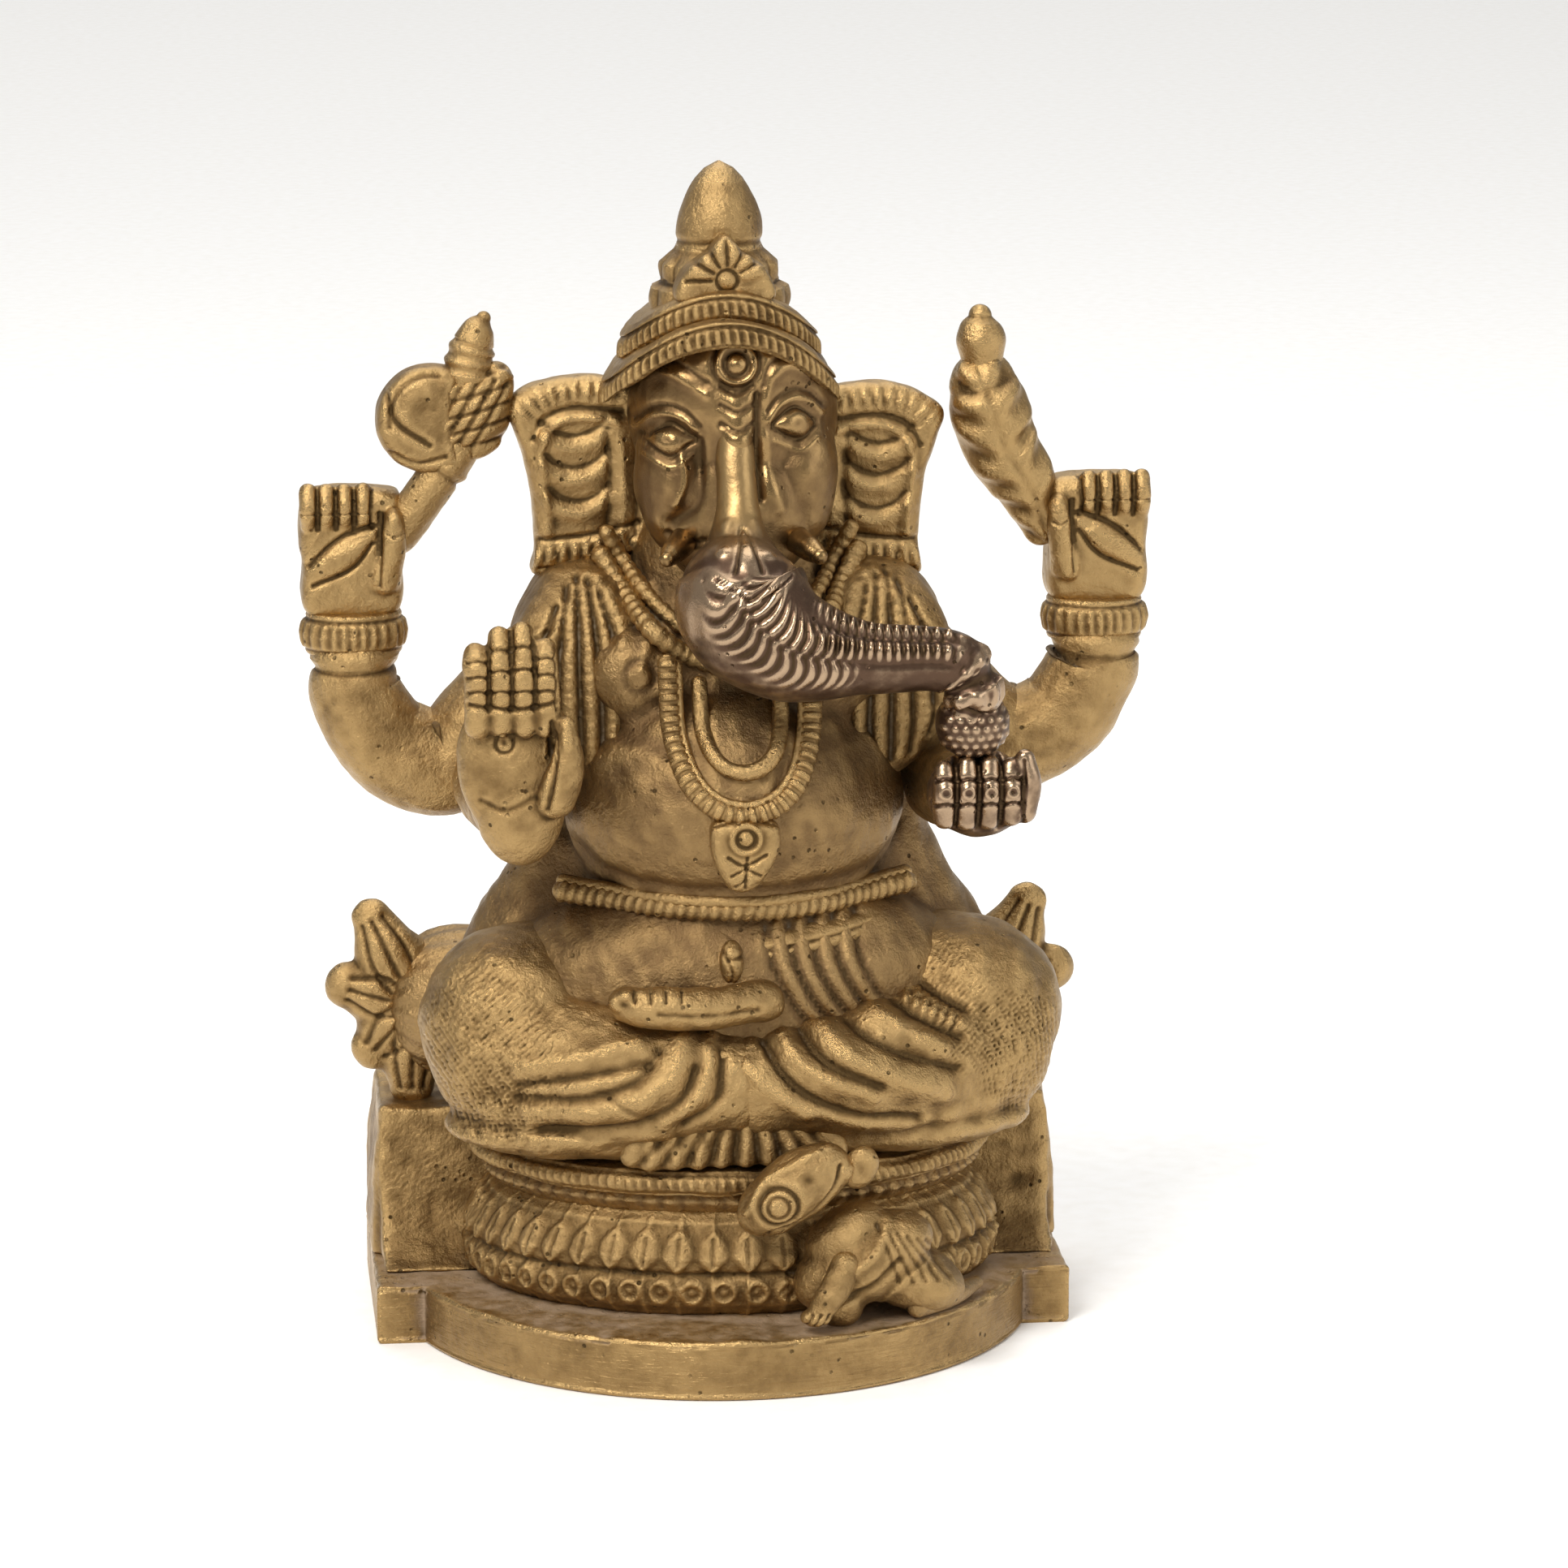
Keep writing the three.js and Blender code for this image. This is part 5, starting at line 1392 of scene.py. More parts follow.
def make_trunk(sizes):
    """The trunk: a limb with two columns of crescent scales, then two ticked ridges, then bands."""
    low, high = span("trunk")
    hx, tip = mid("head")[0] - 0.6, span("sweet")[1]
    tx = mid("sweet")[0]
    path = [
        (hx, low[1] + 15.0, high[2] + 0.6, 1.5), (hx, low[1] + 13.5, high[2] - 3.4, 1.95),
        (hx, low[1] + 12.0, high[2] - 7.6, 2.1), (hx, low[1] + 10.6, high[2] - 10.8, 3.2),
        (hx - 0.1, low[1] + 8.8, high[2] - 13.4, 5.5), (hx + 0.4, low[1] + 7.4, high[2] - 16.4, 6.6),
        (hx + 4.6, low[1] + 5.9, high[2] - 19.6, 5.5), (hx + 11.6, low[1] + 5.3, high[2] - 20.8, 3.5),
        (tx - 2.4, low[1] + 5.2, high[2] - 21.2, 3.0), (tx, low[1] + 5.2, high[2] - 24.2, 2.75),
        (tx, low[1] + 5.4, tip[2] - 0.6, 2.55),
    ]

    def chased(s, a):
        """Crescents across the front, ridges along the upper side and bands at the tip."""
        scales = np.clip((s - 16.5) / 2, 0, 1) * np.clip((31 - s) / 3, 0, 1)
        crescent = np.zeros_like(s + a)
        for centre in (-0.36, 0.24):
            d = (a - centre) / 0.33
            phase = (s + 0.55 * d**2 + 2.2 * centre) / sizes.mm("scale_pitch")
            crescent += 0.2 * (np.abs((phase % 1) - 0.5) * 4 - 1) * np.exp(-(d**4))
        ridges = np.clip((s - 25) / 3, 0, 1) * np.clip((40 - s) / 1.5, 0, 1)
        rib = sum(np.exp(-(((a - c) / 0.24) ** 2)) for c in (-1.15, -0.45))
        ticks = 0.3 * np.cos(TURN * s / 0.9) * rib + 0.42 * rib
        ticks = ticks - 0.45 * np.exp(-(((a + 0.8) / 0.16) ** 2)) - 0.3 * np.exp(
            -(((a + 0.02) / 0.14) ** 2)
        )
        bands = np.clip((s - 40) / 0.8, 0, 1) * (
            0.34 * np.cos(TURN * (s - 40.8) / 2.5) - 0.1
            + 0.14 * np.cos(9 * a) * (np.cos(TURN * (s - 40.8) / 2.5) > 0.2)
        )
        return scales * crescent + 0.8 * ridges * ticks + bands

    trunk = tube(path, 0.15, 200, chased)
    verts, tris = roughened(trunk, 95, 0.14)
    n = normals(verts, tris)
    leaf = (hx + 0.2, high[2] - 10.7)
    marks = [
        spot(leaf, (1.0, 1.6), 0.3, 3),
        line(
            [(leaf[0] - 1.3, leaf[1] - 1.2), (leaf[0], leaf[1] + 1.9), (leaf[0] + 1.3, leaf[1] - 1.2)], 0.2,
            -0.25,
        ),
    ]
    for x, tilt in ((-1.6, -0.55), (2.6, 0.55)):
        marks += [
            spot((leaf[0] + x, leaf[1] - 2.7), (1.8, 0.95), 0.3, 3, tilt),
            line(
                [
                    (leaf[0] + x - 1.5, leaf[1] - 2.7 - 1.5 * tilt),
                    (leaf[0] + x + 1.5, leaf[1] - 2.7 + 1.5 * tilt),
                ],
                0.16, -0.3,
            ),
        ]
    marks += [
        spot((leaf[0] + x, leaf[1] + z), (0.8, 0.45), 0.2, 3, t)
        for x, z, t in ((-2.2, 0.3, 0.6), (2.0, 0.1, -0.6), (-1.6, 2.0, 0.8), (1.5, 1.9, -0.8))
    ]
    push = sum(mark(verts) for mark in marks) * np.clip(-2 * n[:, 1], 0, 1) * (verts[:, 2] > high[2] - 16)
    place("trunk_cast", (verts + n * push[:, None], tris), "trunk", "dull_brass")


def make_ears(sizes):
    """Each ear: a plate with a ticked top border, a framed panel of three folds and a tilted lower band."""
    for side, node in ((-1, "right_ear"), (1, "left_ear")):
        low, high = span(node)
        m = (low + high) / 2
        s = side
        x0 = m[0] - s * (high[0] - low[0]) / 2  # the edge by the head
        top, foot = high[2] - 0.1, low[2] + 0.1
        corners = [
            (x0, top - 1.6), (x0 + s * 4.5, top - 0.5), (x0 + s * 9.5, top - 0.6),
            (x0 + s * 13.6, top - 2.7), (x0 + s * 13.2, top - 5.4), (x0 + s * 12.1, top - 8.6),
            (x0 + s * 11.5, top - 12.5), (x0 + s * 11.2, foot + 2.6), (x0 + s * 11.3, foot + 0.2),
            (x0 + s * 6, foot + 0.2), (x0 + s * 0.4, foot + 2.2), (x0 - s * 0.2, m[2]),
        ]
        plate = pad(corners, high[1], low[1] + 0.5, 1.5, 220)
        marks = [
            line(
                [
                    (x0 + s * 2.6, top - 2.0), (x0 + s * 7.5, top - 1.7), (x0 + s * 10.6, top - 2.6),
                    (x0 + s * 12.4, top - 4.2),
                ],
                1.0, 0.3, 1.15,
            ),
            line(
                [
                    (x0 + s * 2.8, top - 3.6), (x0 + s * 7.3, top - 3.3), (x0 + s * 10, top - 4.2),
                    (x0 + s * 11.3, top - 6.2),
                ],
                0.35, -0.45,
            ),
            line(
                [
                    (x0 + s * 3.4, top - 4.6), (x0 + s * 7.2, top - 4.3), (x0 + s * 9.5, top - 5.3),
                    (x0 + s * 10.6, top - 8), (x0 + s * 10.1, top - 12), (x0 + s * 9.9, foot + 4.4),
                ],
                0.5, 0.55,
            ),
            line([(x0 + s * 4.2, top - 5.4), (x0 + s * 3.9, m[2]), (x0 + s * 4.2, foot + 5.2)], 0.45, -0.4),
            line([(x0 + s * 3.0, top - 5.0), (x0 + s * 2.6, m[2]), (x0 + s * 2.8, foot + 4.6)], 0.55, 0.4),
            line([(x0 + s * 1.5, top - 4.0), (x0 + s * 1.2, m[2]), (x0 + s * 1.5, foot + 4.2)], 0.4, -0.4),
            line(
                [(x0 + s * 10.9, foot + 3.9), (x0 + s * 6, foot + 4.3), (x0 + s * 1.2, foot + 5.4)], 0.32,
                -0.45,
            ),
            line(
                [(x0 + s * 10.9, foot + 2.2), (x0 + s * 6, foot + 2.6), (x0 + s * 1.4, foot + 3.8)], 0.95,
                0.42, 1.2,
            ),
            line(
                [(x0 + s * 10.8, foot + 0.9), (x0 + s * 6, foot + 1.1), (x0 + s * 1.4, foot + 2.4)], 0.25,
                -0.45,
            ),
        ]
        for k, z in enumerate((top - 7.0, top - 10.1, top - 13.4)):
            c = x0 + s * (7.4 - 0.15 * k)
            w = 3.2 - 0.15 * k
            for lift, width, height in ((0.0, 0.8, 0.6), (1.35, 0.34, -0.3)):
                marks.append(
                    line(
                        [
                            (c - w, z + 1.0 + lift), (c - 0.6 * w, z + 0.1 + lift), (c, z - 0.35 + lift),
                            (c + 0.6 * w, z + 0.2 + lift), (c + w, z + 1.2 + lift),
                        ],
                        width, height,
                    )
                )
        shell = carved(fused(EAR_CELL, 4, plate), *marks, seed=97 + side, uneven=0.16)
        verts, tris = shell
        back = np.clip(normals(verts, tris)[:, 1] * 2, 0, 1)
        verts = verts.copy()
        verts[:, 1] += back * (
            wobble(verts, 5, 0.3, 99 + side) + 0.5 * np.exp(-(((verts[:, 0] - m[0]) / 3.5) ** 2))
        )
        place(node + "_cast", (verts, tris), node, "worn_brass")


def make_crown(sizes):
    """The crown: two ticked bands bent over the brow, a lobed tier, a rosette plaque and a finial."""
    brim_reach = (span("crown_brim")[1] - span("crown_brim")[0])[0] / 2
    for node, name, seed in (("crown_brim", "ticked_brim", 101), ("crown_hoop", "ticked_hoop", 102)):
        low, high = span(node)
        half = (high - low)[:2] / 2
        m = mid(node)

        def ticks(w, z):
            """Cuts across the band's face that lean a little, with a thin smooth lip over them."""
            cut = 0.17 * np.cos(
                TURN * w / sizes.mm("crown_tick") + 0.7 * z
            ) * np.exp(-(((z - 1.05) / 0.85) ** 4))
            return cut - 0.26 * np.exp(
                -(((z - 2.05) / 0.17) ** 2)
            ) + 0.12 * np.exp(-(((z - 2.35) / 0.2) ** 2))

        ring = turned(
            (m[0], m[1], 0), half,
            [(0.3, 0), (0.95, 0), (1, 0.5), (1, 1.8), (0.97, 2.5), (0.88, 2.8), (0.3, 2.9)], 0.12, 560,
            ticks,
        )
        verts, tris = ring
        verts = verts.copy()
        lift = high[2] - 2.4 - 0.9
        verts[:, 2] += lift - sizes.mm("brim_droop") * (
            (verts[:, 0] - m[0]) / brim_reach
        ) ** 2 - 0.08 * (verts[:, 1] - m[1])
        place(name, roughened((verts, tris), seed, 0.16), node, "brass")
    low, high = span("crown_tier")
    m, h = mid("crown_tier"), high[2] - low[2]

    def lobes(w, z):
        """Two rows of rounded lobes set half a step apart."""
        row = np.where(z < 0.55 * h, 0.0, 0.5)
        bump = np.abs(np.cos(math.pi * (w / 3.3 + row)))
        return 0.4 * bump * np.exp(-((((z % (0.5 * h)) / h - 0.26) / 0.2) ** 2)) - 0.2

    tier = turned(
        (m[0], m[1], low[2] - 0.3), (high - low)[:2] / 2,
        [
            (0.1, 0), (1, 0), (1, 0.42 * h), (0.88, 0.5 * h), (0.84, 0.8 * h), (0.68, 1.0 * h),
            (0.62, 1.1 * h), (0.1, 1.1 * h),
        ],
        0.14, 360, lobes,
    )
    place("lobed_tier", roughened(tier, 103, 0.16), "crown_tier", "brass")
    low, high = span("crown_finial")
    m, h = mid("crown_finial"), high[2] - low[2]
    a = np.linspace(0, 1, 16)
    egg_profile = [(0.1, -0.6), (0.94, -0.6)] + [
        (max(0.05, (1 - t**2.3) ** 0.62 * (0.97 + 0.03 * math.sin(6 * t))), t * h)
        for t in a[:-1]
    ] + [(0.03, h)]
    finial = turned(
        (m[0], m[1], low[2]), (high - low)[:2] / 2, egg_profile, 0.15, 220,
        lambda w, z: -0.16 * np.exp(-(((z - 0.45) / 0.3) ** 2)),
    )
    place("finial_cast", roughened(finial, 104, 0.14), "crown_finial", "worn_brass")
    low, high = span("crown_plaque")
    m = (low + high) / 2
    corners = [
        (m[0] - 4.6, low[2] - 0.2), (m[0], low[2] - 0.6), (m[0] + 4.6, low[2] - 0.2),
        (m[0] + 4.0, low[2] + 2.5), (m[0] + 1.8, high[2] - 1.3), (m[0], high[2] + 0.5),
        (m[0] - 1.8, high[2] - 1.3), (m[0] - 4.0, low[2] + 2.5),
    ]
    centre = (m[0] + 0.1, low[2] + 1.8)
    marks = [hoop(centre, 1.0, 0.22, -0.36), spot(centre, (0.5, 0.5), 0.34)]
    for k in range(6):
        t = math.pi * (k + 0.5) / 6
        marks.append(
            spot((centre[0] + 2.5 * math.cos(t), centre[1] + 2.4 * math.sin(t)), (1.2, 0.62), 0.5, 3, t)
        )
        t += math.pi / 12
        marks.append(
            line(
                [
                    (centre[0] + 1.5 * math.cos(t), centre[1] + 1.5 * math.sin(t)),
                    (centre[0] + 3.9 * math.cos(t), centre[1] + 3.8 * math.sin(t)),
                ],
                0.22, -0.4,
            )
        )
    place(
        "rosette_plaque",
        carved(
            fused(FINE_CELL, 3, pad(corners, high[1] + 1, low[1] - 0.5, 0.9)), *marks, seed=105, uneven=0.1,
        ),
        "crown_plaque", "worn_brass",
    )


# ---- Wear: what each point of the surface has lost or gathered ----------------------------------


def pieces():
    """The cast pieces: every mesh of this script's own that isn't the stage."""
    return [o for o in bpy.data.objects if o.type == "MESH" and o.get("cast")]


def measure_hollows(objects, cell=0.55, blur=3):
    """Writes two attributes. hollow is how much a vertex lies below its surroundings, over the spacing
    squared: the Laplacian. recess is how much other surface stands in front of it: the area of all the
    pieces is summed in a grid of small cells, blurred by a box three times, and read a little way out."""
    data = []
    for o in objects:
        mesh = o.data
        verts = np.empty(len(mesh.vertices) * 3, np.float32)
        mesh.vertices.foreach_get("co", verts)
        tris = np.empty(len(mesh.loops), np.int32)
        mesh.loops.foreach_get("vertex_index", tris)
        verts, tris = verts.reshape(-1, 3).astype(float) / MM, tris.reshape(-1, 3)
        cross = np.cross(verts[tris[:, 1]] - verts[tris[:, 0]], verts[tris[:, 2]] - verts[tris[:, 0]])
        area = np.bincount(
            tris.ravel(), weights=np.repeat(np.linalg.norm(cross, axis=1) / 6, 3), minlength=len(verts),
        )
        data.append((mesh, verts, tris, area))
    low = np.min([v.min(0) for _, v, _, _ in data], 0) - 4
    shape = np.ceil((np.max([v.max(0) for _, v, _, _ in data], 0) + 4 - low) / cell).astype(int)
    grid = np.zeros(shape.prod())
    for _, verts, _, area in data:
        i = ((verts - low) / cell).astype(int)
        grid += np.bincount(np.ravel_multi_index(i.T, shape), weights=area, minlength=grid.size)
    grid = grid.reshape(shape)
    for _ in range(3):
        for axis in range(3):
            grid = sum(np.roll(grid, k, axis) for k in range(-(blur // 2), blur // 2 + 1)) / blur
    for mesh, verts, tris, _ in data:
        n = normals(verts, tris)
        edge = np.mean(np.linalg.norm(verts[tris[:, 0]] - verts[tris[:, 1]], axis=1)) ** 2
        soft = relaxed((verts, tris), 6)[0]
        broad = relaxed((soft, tris), 18)[0]
        hollow = np.clip(((soft - verts) * n).sum(1) / (edge * 1.2), -2, 2) * 0.5
        hollow += np.clip(((broad - verts) * n).sum(1) / 0.22, -1.5, 1.5) * 0.6
        out = verts + n * 1.5
        i = np.clip(((out - low) / cell).astype(int), 0, shape - 1)
        recess = grid[i[:, 0], i[:, 1], i[:, 2]] / cell**2
        recess = around_mean(around_mean(recess[:, None], tris, len(verts)), tris, len(verts))[:, 0]
        for name, values in (("hollow", hollow), ("recess", recess)):
            layer = mesh.attributes.get(name) or mesh.attributes.new(name, "FLOAT", "POINT")
            layer.data.foreach_set("value", values.astype(np.float32))


# ---- Finishes -------------------------------------------------------------------------------


def to_linear(code):
    """A colour given as sRGB hex, in the linear values that shaders use."""
    parts = [int(code[k : k + 2], 16) / 255 for k in (1, 3, 5)]
    return tuple(p / 12.92 if p <= 0.04045 else ((p + 0.055) / 1.055) ** 2.4 for p in parts) + (1.0,)


def per_mm(size):
    """The scale of a pattern, on coordinates in metres, whose features are about size millimetres across."""
    return 1000 / size


def add(tree, kind, links=None, out=0, **settings):
    """Adds a node and gives one of its outputs. links gives its inputs: values or other nodes' outputs."""
    node = tree.nodes.new("ShaderNode" + kind)
    for key, value in settings.items():
        setattr(node, key, value)
    for key, value in (links or {}).items():
        if isinstance(value, bpy.types.NodeSocket):
            tree.links.new(value, node.inputs[key])
        else:
            node.inputs[key].default_value = value
    return node.outputs[out] if len(node.outputs) else node


def stepped(tree, low, high, *terms):
    """A smooth step, 0 under low and 1 over high, of terms of (value, factor) added up."""
    return add(
        tree, "MapRange", {0: summed(tree, *terms), 1: low, 2: high}, interpolation_type="SMOOTHSTEP",
    )


def summed(tree, *terms):
    """Terms of (value, factor) added up."""
    total = 0.0
    for value, factor in terms:
        total = add(tree, "Math", {0: value, 1: factor, 2: total}, operation="MULTIPLY_ADD")
    return total


def layered(tree, colour, *layers):
    """A colour with others laid over it, each layer of (where it lies, how fully, its colour)."""
    for share, strength, over in layers:
        part = add(tree, "Math", {0: share, 1: strength}, operation="MULTIPLY")
        colour = add(tree, "Mix", {0: part, 6: colour, 7: over}, out=2, data_type="RGBA")
    return colour


def bare_material(name):
    """A material with an empty node tree, its tree, and the place on the object that patterns read."""
    material = bpy.data.materials.new(name)
    material.use_nodes = True
    tree = material.node_tree
    tree.nodes.clear()
    return material, tree, add(tree, "TexCoord", out="Object")


def brass_finish(
    name, bright, body, dark, dust, dust_from, patina, polish, grain, brushed=0.0, golden=None,
):
    """One aged brass. bright shows on rubbed edges, body on open faces, dark in cuts, dust where it can't be
    wiped, from dust_from of its measure up. patina is how far the brown has grown, polish the roughness of
    clean metal, grain and brushed the depth of its grain and file strokes. golden is (colour, low, high):
    a colour that takes over between two heights."""
    material, tree, place_of = bare_material(name)

    def noise(size, detail, rough=0.5, at=place_of):
        return add(
            tree, "TexNoise", {"Vector": at, "Scale": per_mm(size), "Detail": detail, "Roughness": rough},
        )

    hollow, recess = (
        add(tree, "Attribute", attribute_name=word, out="Fac")
        for word in ("hollow", "recess")
    )
    cloud, stain = noise(CLOUD, 5.0, 0.6), noise(STAIN, 4.0, 0.6)
    speck, sand = noise(SPECK, 6.0, 0.65), noise(SAND, 4.0, 0.7)
    pit = add(tree, "TexVoronoi", {"Vector": place_of, "Scale": per_mm(PIT)}, out="Distance")
    patch = stepped(tree, 0.52, 0.62, (noise(PITTED_PATCH, 3.0), 1.0))
    pitted = add(tree, "Math", {0: stepped(tree, 0.2, 0.1, (pit, 1.0)), 1: patch}, operation="MULTIPLY")
    # Brown grows in hollows and in cloudy patches, and is rubbed off what stands proud.
    aged = ((hollow, 0.55), (cloud, 1.3), (stain, 0.9), (speck, 0.7), (recess, 0.12))
    browned = stepped(tree, 1.35 - patina, 2.3 - patina, *aged)
    cut = stepped(tree, 0.45, 1.3, (hollow, 1.0), (speck, 0.35))
    rubbed = stepped(tree, 0.62, 1.25, (hollow, -1.0), (sand, 0.5), (cloud, 0.4))
    layers = [(browned, 1.0, body), (rubbed, 0.75, bright), (cut, 0.7, dark), (pitted, 0.8, dark)]
    if golden:
        ridge = stepped(
            tree, golden[1] * MM, golden[2] * MM, (add(tree, "SeparateXYZ", {0: place_of}, out=2), 1.0),
        )
        layers.append((ridge, 0.85, golden[0]))
    # Dust lies in the joins between masses, most where the surface faces up.
    up = add(tree, "SeparateXYZ", {0: add(tree, "NewGeometry", out="Normal")}, out=2)
    settled = ((recess, 0.45), (up, 0.22), (speck, 0.5), (cloud, 0.4), (hollow, 0.2))
    dusty = stepped(tree, dust_from, dust_from + 0.4, *settled)
    colour = layered(tree, bright, *layers, (dusty, 0.85, dust))
    metal = add(tree, "MapRange", {0: dusty, 1: 0.0, 2: 1.0, 3: 0.96, 4: 0.25})
    rough = summed(tree, (browned, 0.1), (sand, 0.14), (dusty, 0.34), (rubbed, -0.09), (pitted, 0.2))
    rough = add(tree, "Math", {0: rough, 1: polish}, operation="ADD", use_clamp=True)
    drawn = add(tree, "Mapping", {0: place_of, "Scale": (0.12, 0.12, 1.0)})
    stroke = noise(FILE_STROKE, 3.0, at=drawn)
    height = summed(tree, (sand, 0.32 * grain), (speck, 0.75 * grain), (pitted, -0.9), (stroke, brushed))
    bump = add(tree, "Bump", {"Strength": 1.0, "Distance": BUMP_DEPTH * MM, "Height": height})
    surface = {"Base Color": colour, "Metallic": metal, "Roughness": rough, "Normal": bump}
    add(tree, "OutputMaterial", {0: add(tree, "BsdfPrincipled", surface)})
    return material


FINISHES = {
    # piece name: finish, for those that differ from their slot's own
    "head_cast": "rubbed", "trunk_cast": "umber", "blessing_hand_cast": "worn", "sweet_hand_cast": "umber",
    "sweet_ball": "umber", "torso_cast": "brown", "cast_plinth": "filed", "cast_block": "cast",
    "right_ear_cast": "golden", "left_ear_cast": "golden", "axe_hand_cast": "golden",
    "bud_hand_cast": "golden",
    "bud_stem_cast": "golden", "bud_tip_cast": "golden", "right_tusk_cast": "rubbed",
    "left_tusk_cast": "rubbed",
}
BY_SLOT = {"worn_brass": "worn", "brass": "cast", "dull_brass": "brown"}


def finish_everything(colours):
    """Gives each piece its finish, after its hollows are measured."""
    done = pieces()
    measure_hollows(done)
    gold = dict(bright=colours.bright, body=colours.body, dark=colours.dark, dust=colours.dust)
    brown = {**gold, "bright": colours.skin, "body": colours.brown}
    umber = {**gold, "bright": colours.pale, "body": colours.umber}
    ridge = mid("trunk")[2] + 2.0
    made = {
        # Open-cast brass that fingers have kept golden: bright faces, dark only in the cuts.
        "worn": brass_finish(
            "cast_brass_worn_bright", **gold, dust_from=1.0, patina=0.36, polish=0.28, grain=1.7,
        ),
        # Thin, high parts that have been handled most, and show the least brown.
        "golden": brass_finish(
            "cast_brass_handled", **gold, dust_from=1.2, patina=0.14, polish=0.26, grain=1.4,
        ),
        # The same metal left alone: a yellow-brown skin with a grainy, matt look.
        "cast": brass_finish("cast_brass_aged", **gold, dust_from=0.84, patina=0.44, polish=0.31, grain=1.9),
        # Browner still, softer to the eye, for the broad faces that are rarely touched.
        "brown": brass_finish(
            "cast_brass_brown_skin", **brown, dust_from=0.86, patina=0.5, polish=0.31, grain=1.6,
        ),
        # Brown skin rubbed smooth on the face and tusks, so that its highlights are small and sharp.
        "rubbed": brass_finish(
            "chased_brass_rubbed", **brown, dust_from=1.25, patina=0.55, polish=0.25, grain=0.5,
        ),
        # Dark reddish skin, almost polished, and golden on the trunk's upper ridge.
        "umber": brass_finish(
            "chased_brass_umber", **umber, dust_from=1.45, patina=0.75, polish=0.24, grain=0.35,
            golden=(colours.bright, ridge, ridge + 4.0),
        ),
        # The plinth's sides keep the level strokes of a file, and pale dust lies on its top.
        "filed": brass_finish(
            "cast_brass_filed", **{**gold, "dust": colours.pale}, dust_from=0.5, patina=0.3, polish=0.3,
            grain=1.2,
            brushed=0.7,
        ),
    }
    for piece in done:
        finish = FINISHES.get(piece.name) or BY_SLOT[piece["cast"]]
        piece.data.materials.clear()
        piece.data.materials.append(made[finish])


# ---- Stage ----------------------------------------------------------------------------------


def plain_paper(tone):
    """Matt paper with a faint tooth, so that the floor isn't one dead flat colour."""
    material, tree, place_of = bare_material("matt_paper")
    tooth = add(tree, "TexNoise", {"Vector": place_of, "Scale": per_mm(2.5), "Detail": 3.0})
    colour = layered(tree, to_linear(tone), (tooth, 1.0, to_linear("#ffffff")))
    bump = add(tree, "Bump", {"Strength": 0.1, "Distance": 0.05 * MM, "Height": tooth})
    add(
        tree, "OutputMaterial",
        {0: add(tree, "BsdfPrincipled", {"Base Color": colour, "Roughness": 0.85, "Normal": bump})},
    )
    return material


def soft_light(name, at, size, power, tint, aim):
    """A square area light at a place, turned to face aim."""
    lamp = bpy.data.lights.new(name, "AREA")
    lamp.size, lamp.energy, lamp.color = size, power, tint
    light = bpy.data.objects.new(name, lamp)
    light.location = at
    light.rotation_euler = (Vector(aim) - Vector(at)).to_track_quat("-Z", "Y").to_euler()
    bpy.context.scene.collection.objects.link(light)
    return light


def make_stage(stage):
    """The floor, four soft lights, a pale surround and the camera."""
    half = 3.0
    mesh = bpy.data.meshes.new("floor")
    mesh.from_pydata(
        [(-half, -half, 0), (half, -half, 0), (half, half, 0), (-half, half, 0)], [], [(0, 1, 2, 3)],
    )
    floor = bpy.data.objects.new("floor", mesh)
    bpy.context.scene.collection.objects.link(floor)
    mesh.materials.append(plain_paper("#f4f2ee"))
    aim = (0, 0, 0.055)
    soft_light("key", (-0.32, -0.42, 0.62), 0.34, stage.key_power, (1.0, 0.985, 0.96), aim)
    soft_light("fill", (0.6, -0.35, 0.3), 0.5, stage.fill_power, (0.97, 0.985, 1.0), aim)
    soft_light("top", (0.05, 0.18, 0.7), 0.5, stage.top_power, (1.0, 1.0, 1.0), aim)
    soft_light("backdrop", (0, 1.3, 1.1), 1.6, stage.backdrop_power, (1.0, 1.0, 1.0), (0, 1.3, 0))
    world = bpy.data.worlds.new("surround")
    bpy.context.scene.world = world
    world.use_nodes = True
    tree = world.node_tree
    tree.nodes.clear()
    back = add(tree, "Background", {"Color": (1.0, 0.99, 0.97, 1.0), "Strength": stage.surround})
    add(tree, "OutputWorld", {0: back})
    lens = bpy.data.cameras.new("camera")
    lens.lens, lens.sensor_width = stage.lens, 36.0
    lens.clip_start, lens.clip_end = 0.01, 20.0
    camera = bpy.data.objects.new("camera", lens)
    bpy.context.scene.collection.objects.link(camera)
    a, e = stage.azimuth, stage.elevation
    right = Vector((math.cos(a), math.sin(a), 0))
    back_way = Vector((math.sin(a) * math.cos(e), -math.cos(a) * math.cos(e), math.sin(e)))
    target = Vector((0, 0, stage.aim_height)) + right * stage.aim_right
    camera.location = target + back_way * stage.distance
    camera.rotation_euler = back_way.to_track_quat("Z", "Y").to_euler()
    bpy.context.scene.camera = camera
    bpy.context.scene.view_settings.view_transform = "Standard"


# ---- Settings, operators and panel --------------------------------------------------------------


def size(name, text, default):
    """A length, given here in millimetres and shown in the scene's own unit."""
    return bpy.props.FloatProperty(
        name=name, description=text, default=default * MM, min=0.0, unit="LENGTH",
    )


def colour(name, text, default):
    """A colour, given here as sRGB hex."""
    return bpy.props.FloatVectorProperty(
        name=name, description=text, default=to_linear(default), size=4, min=0.0, max=1.0, subtype="COLOR"
    )


def number(name, text, default, **unit):
    """A number of the stage, with its unit or subtype."""
    return bpy.props.FloatProperty(name=name, description=text, default=default, **unit)


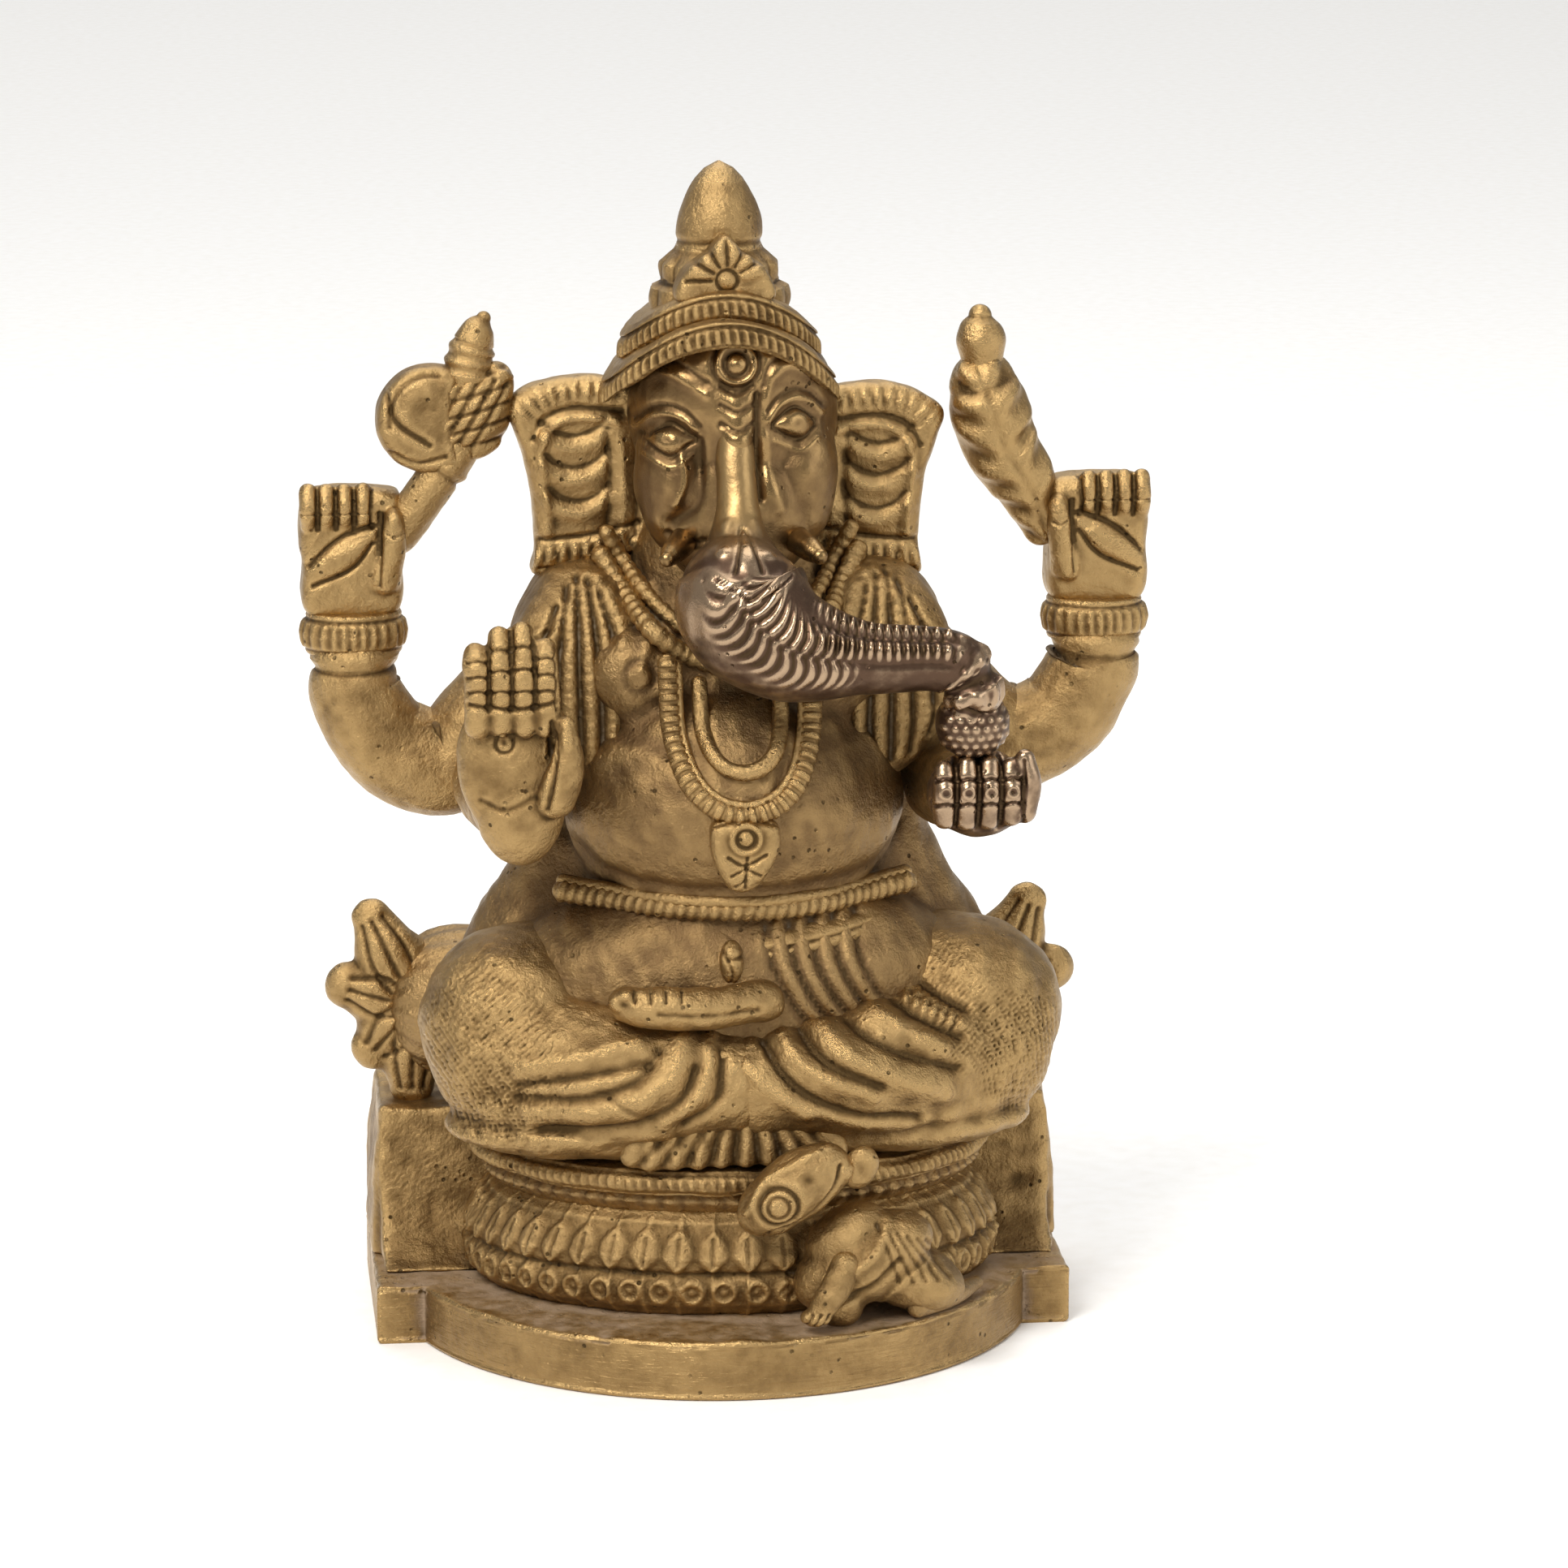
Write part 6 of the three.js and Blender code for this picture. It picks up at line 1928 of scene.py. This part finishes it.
class FigurineSizes(bpy.types.PropertyGroup):
    """Sizes of the figure's finer work."""

    voxel: size("Wax cell", "Cell at which the body's masses are fused", 0.33)
    plinth_edge: size("Plinth edge", "Rounding of the plinth's rims", 0.45)
    petal_pitch: size("Petal pitch", "Width of a petal on the lotus ring", 3.5)
    rim_tick: size("Rim tick", "Distance between ticks on the cushion and belt", 1.05)
    crown_tick: size("Crown tick", "Distance between ticks on the crown's bands", 0.95)
    scale_pitch: size("Scale pitch", "Distance between crescents on the trunk", 1.0)
    brim_droop: size("Brim droop", "How much lower the crown's brim hangs at the temples", 6.2)
    fold_height: size("Fold height", "How far a dress fold stands up", 0.95)
    punch_pitch: size("Punch pitch", "Distance between punched lines on the knees", 0.95)
    punch_depth: size("Punch depth", "Depth of the punched lines", 0.2)

    def mm(self, word):
        """One of these sizes in millimetres."""
        return getattr(self, word) / MM


class FigurineColours(bpy.types.PropertyGroup):
    """Colours of the brass and of what lies on it."""

    bright: colour("Bright brass", "Brass where it is rubbed", "#a98b5c")
    body: colour("Aged brass", "Brass on open faces", "#715836")
    skin: colour("Worn skin", "Where the brown skin is thin", "#94784f")
    brown: colour("Brown skin", "The brown skin on broad faces", "#6e5639")
    umber: colour("Umber skin", "The dark skin on the trunk", "#574335")
    pale: colour("Pale rub", "Rubbed edges on the umber skin, and dust on the plinth", "#a88f74")
    dark: colour("Dark cuts", "What has settled in the cuts", "#3d2f1b")
    dust: colour("Dust", "Dust in the joins", "#857660")


class FigurineStage(bpy.types.PropertyGroup):
    """Where the camera stands, and how strong the lights are."""

    azimuth: number("Azimuth", "Way round the figure", math.radians(-6), subtype="ANGLE")
    elevation: number("Elevation", "Angle above the floor", math.radians(13), subtype="ANGLE")
    distance: number("Distance", "From the aim to the camera", 0.6, unit="LENGTH")
    lens: number("Lens", "Focal length", 142.0, unit="CAMERA")
    aim_height: number("Aim height", "Height of the point aimed at", 0.0548, unit="LENGTH")
    aim_right: number("Aim right", "How far right of the middle the aim is", 0.0051, unit="LENGTH")
    key_power: number("Key", "Power of the main light", 5.5, unit="POWER")
    fill_power: number("Fill", "Power of the light from the right", 1.65, unit="POWER")
    top_power: number("Top", "Power of the light over and behind", 2.1, unit="POWER")
    backdrop_power: number("Backdrop", "Power of the light on the floor behind", 9.0, unit="POWER")
    surround: number("Surround", "Strength of the pale surround", 0.4)


def operator(word, label, text, *steps, group="figurine_sizes"):
    """An operator class that runs its steps with the scene's settings."""

    def execute(self, context):
        for step in steps:
            step(getattr(context.scene, group))
        return {"FINISHED"}

    name = "FIGURINE_OT_" + word
    return type(
        name, (bpy.types.Operator,),
        {"__doc__": text, "bl_idname": "figurine." + word, "bl_label": label, "execute": execute},
    )


OPERATORS = (
    operator(
        "base", "Base", "Makes the plinth, the block and the lotus seat", make_plinth, make_block,
        make_seat,
    ),
    operator("mouse", "Mouse", "Makes the mouse at the seat's foot", make_mouse),
    operator(
        "legs", "Legs and Dress", "Makes the legs, the foot, the hem, the sash and the bolster", make_legs,
        make_foot, make_hem, make_sash, make_bolster,
    ),
    operator(
        "body", "Body", "Makes the torso and all that hangs on it", make_torso, make_necklaces, make_bands,
        make_locks,
    ),
    operator(
        "rear_arms", "Rear Arms", "Makes the rear arms, their hands, the axe and the bud", make_rear_arms,
        make_rear_hands, make_axe, make_bud,
    ),
    operator(
        "front_arms", "Front Arms", "Makes the front arms, their hands and the sweet", make_front_arms,
        make_blessing_hand, make_sweet_hand,
    ),
    operator("head", "Head", "Makes the head, tusks, trunk and ears", make_head, make_trunk, make_ears),
    operator("crown", "Crown", "Makes the crown's bands, tier, plaque and finial", make_crown),
    operator(
        "finish", "Finish", "Measures wear and gives each piece its finish", finish_everything,
        group="figurine_colours",
    ),
    operator(
        "stage", "Stage", "Makes the floor, the lights and the camera", make_stage, group="figurine_stage",
    ),
)


class FIGURINE_PT_panel(bpy.types.Panel):
    """Lists the figurine's steps in order."""

    bl_label = "Figurine"
    bl_space_type = "VIEW_3D"
    bl_region_type = "UI"
    bl_category = "Figurine"

    def draw(self, context):
        for step in OPERATORS:
            self.layout.operator(step.bl_idname)


GROUPS = {
    "figurine_sizes": FigurineSizes, "figurine_colours": FigurineColours, "figurine_stage": FigurineStage,
}


def register():
    """Registers the settings, the operators and the panel."""
    for kind in (*GROUPS.values(), *OPERATORS, FIGURINE_PT_panel):
        bpy.utils.register_class(kind)
    for name, kind in GROUPS.items():
        setattr(bpy.types.Scene, name, bpy.props.PointerProperty(type=kind))


def unregister():
    """Takes them away again."""
    for name in GROUPS:
        delattr(bpy.types.Scene, name)
    for kind in (FIGURINE_PT_panel, *reversed(OPERATORS), *reversed(GROUPS.values())):
        bpy.utils.unregister_class(kind)


def main():
    """Makes the figurine and its stage, and writes the CAD box and the finished model's box."""
    register()
    for step in OPERATORS:
        group, word = step.bl_idname.split(".")
        if getattr(getattr(bpy.ops, group), word)() != {"FINISHED"}:
            raise RuntimeError(step.bl_label + " didn't finish")


if __name__ == "__main__":
    main()
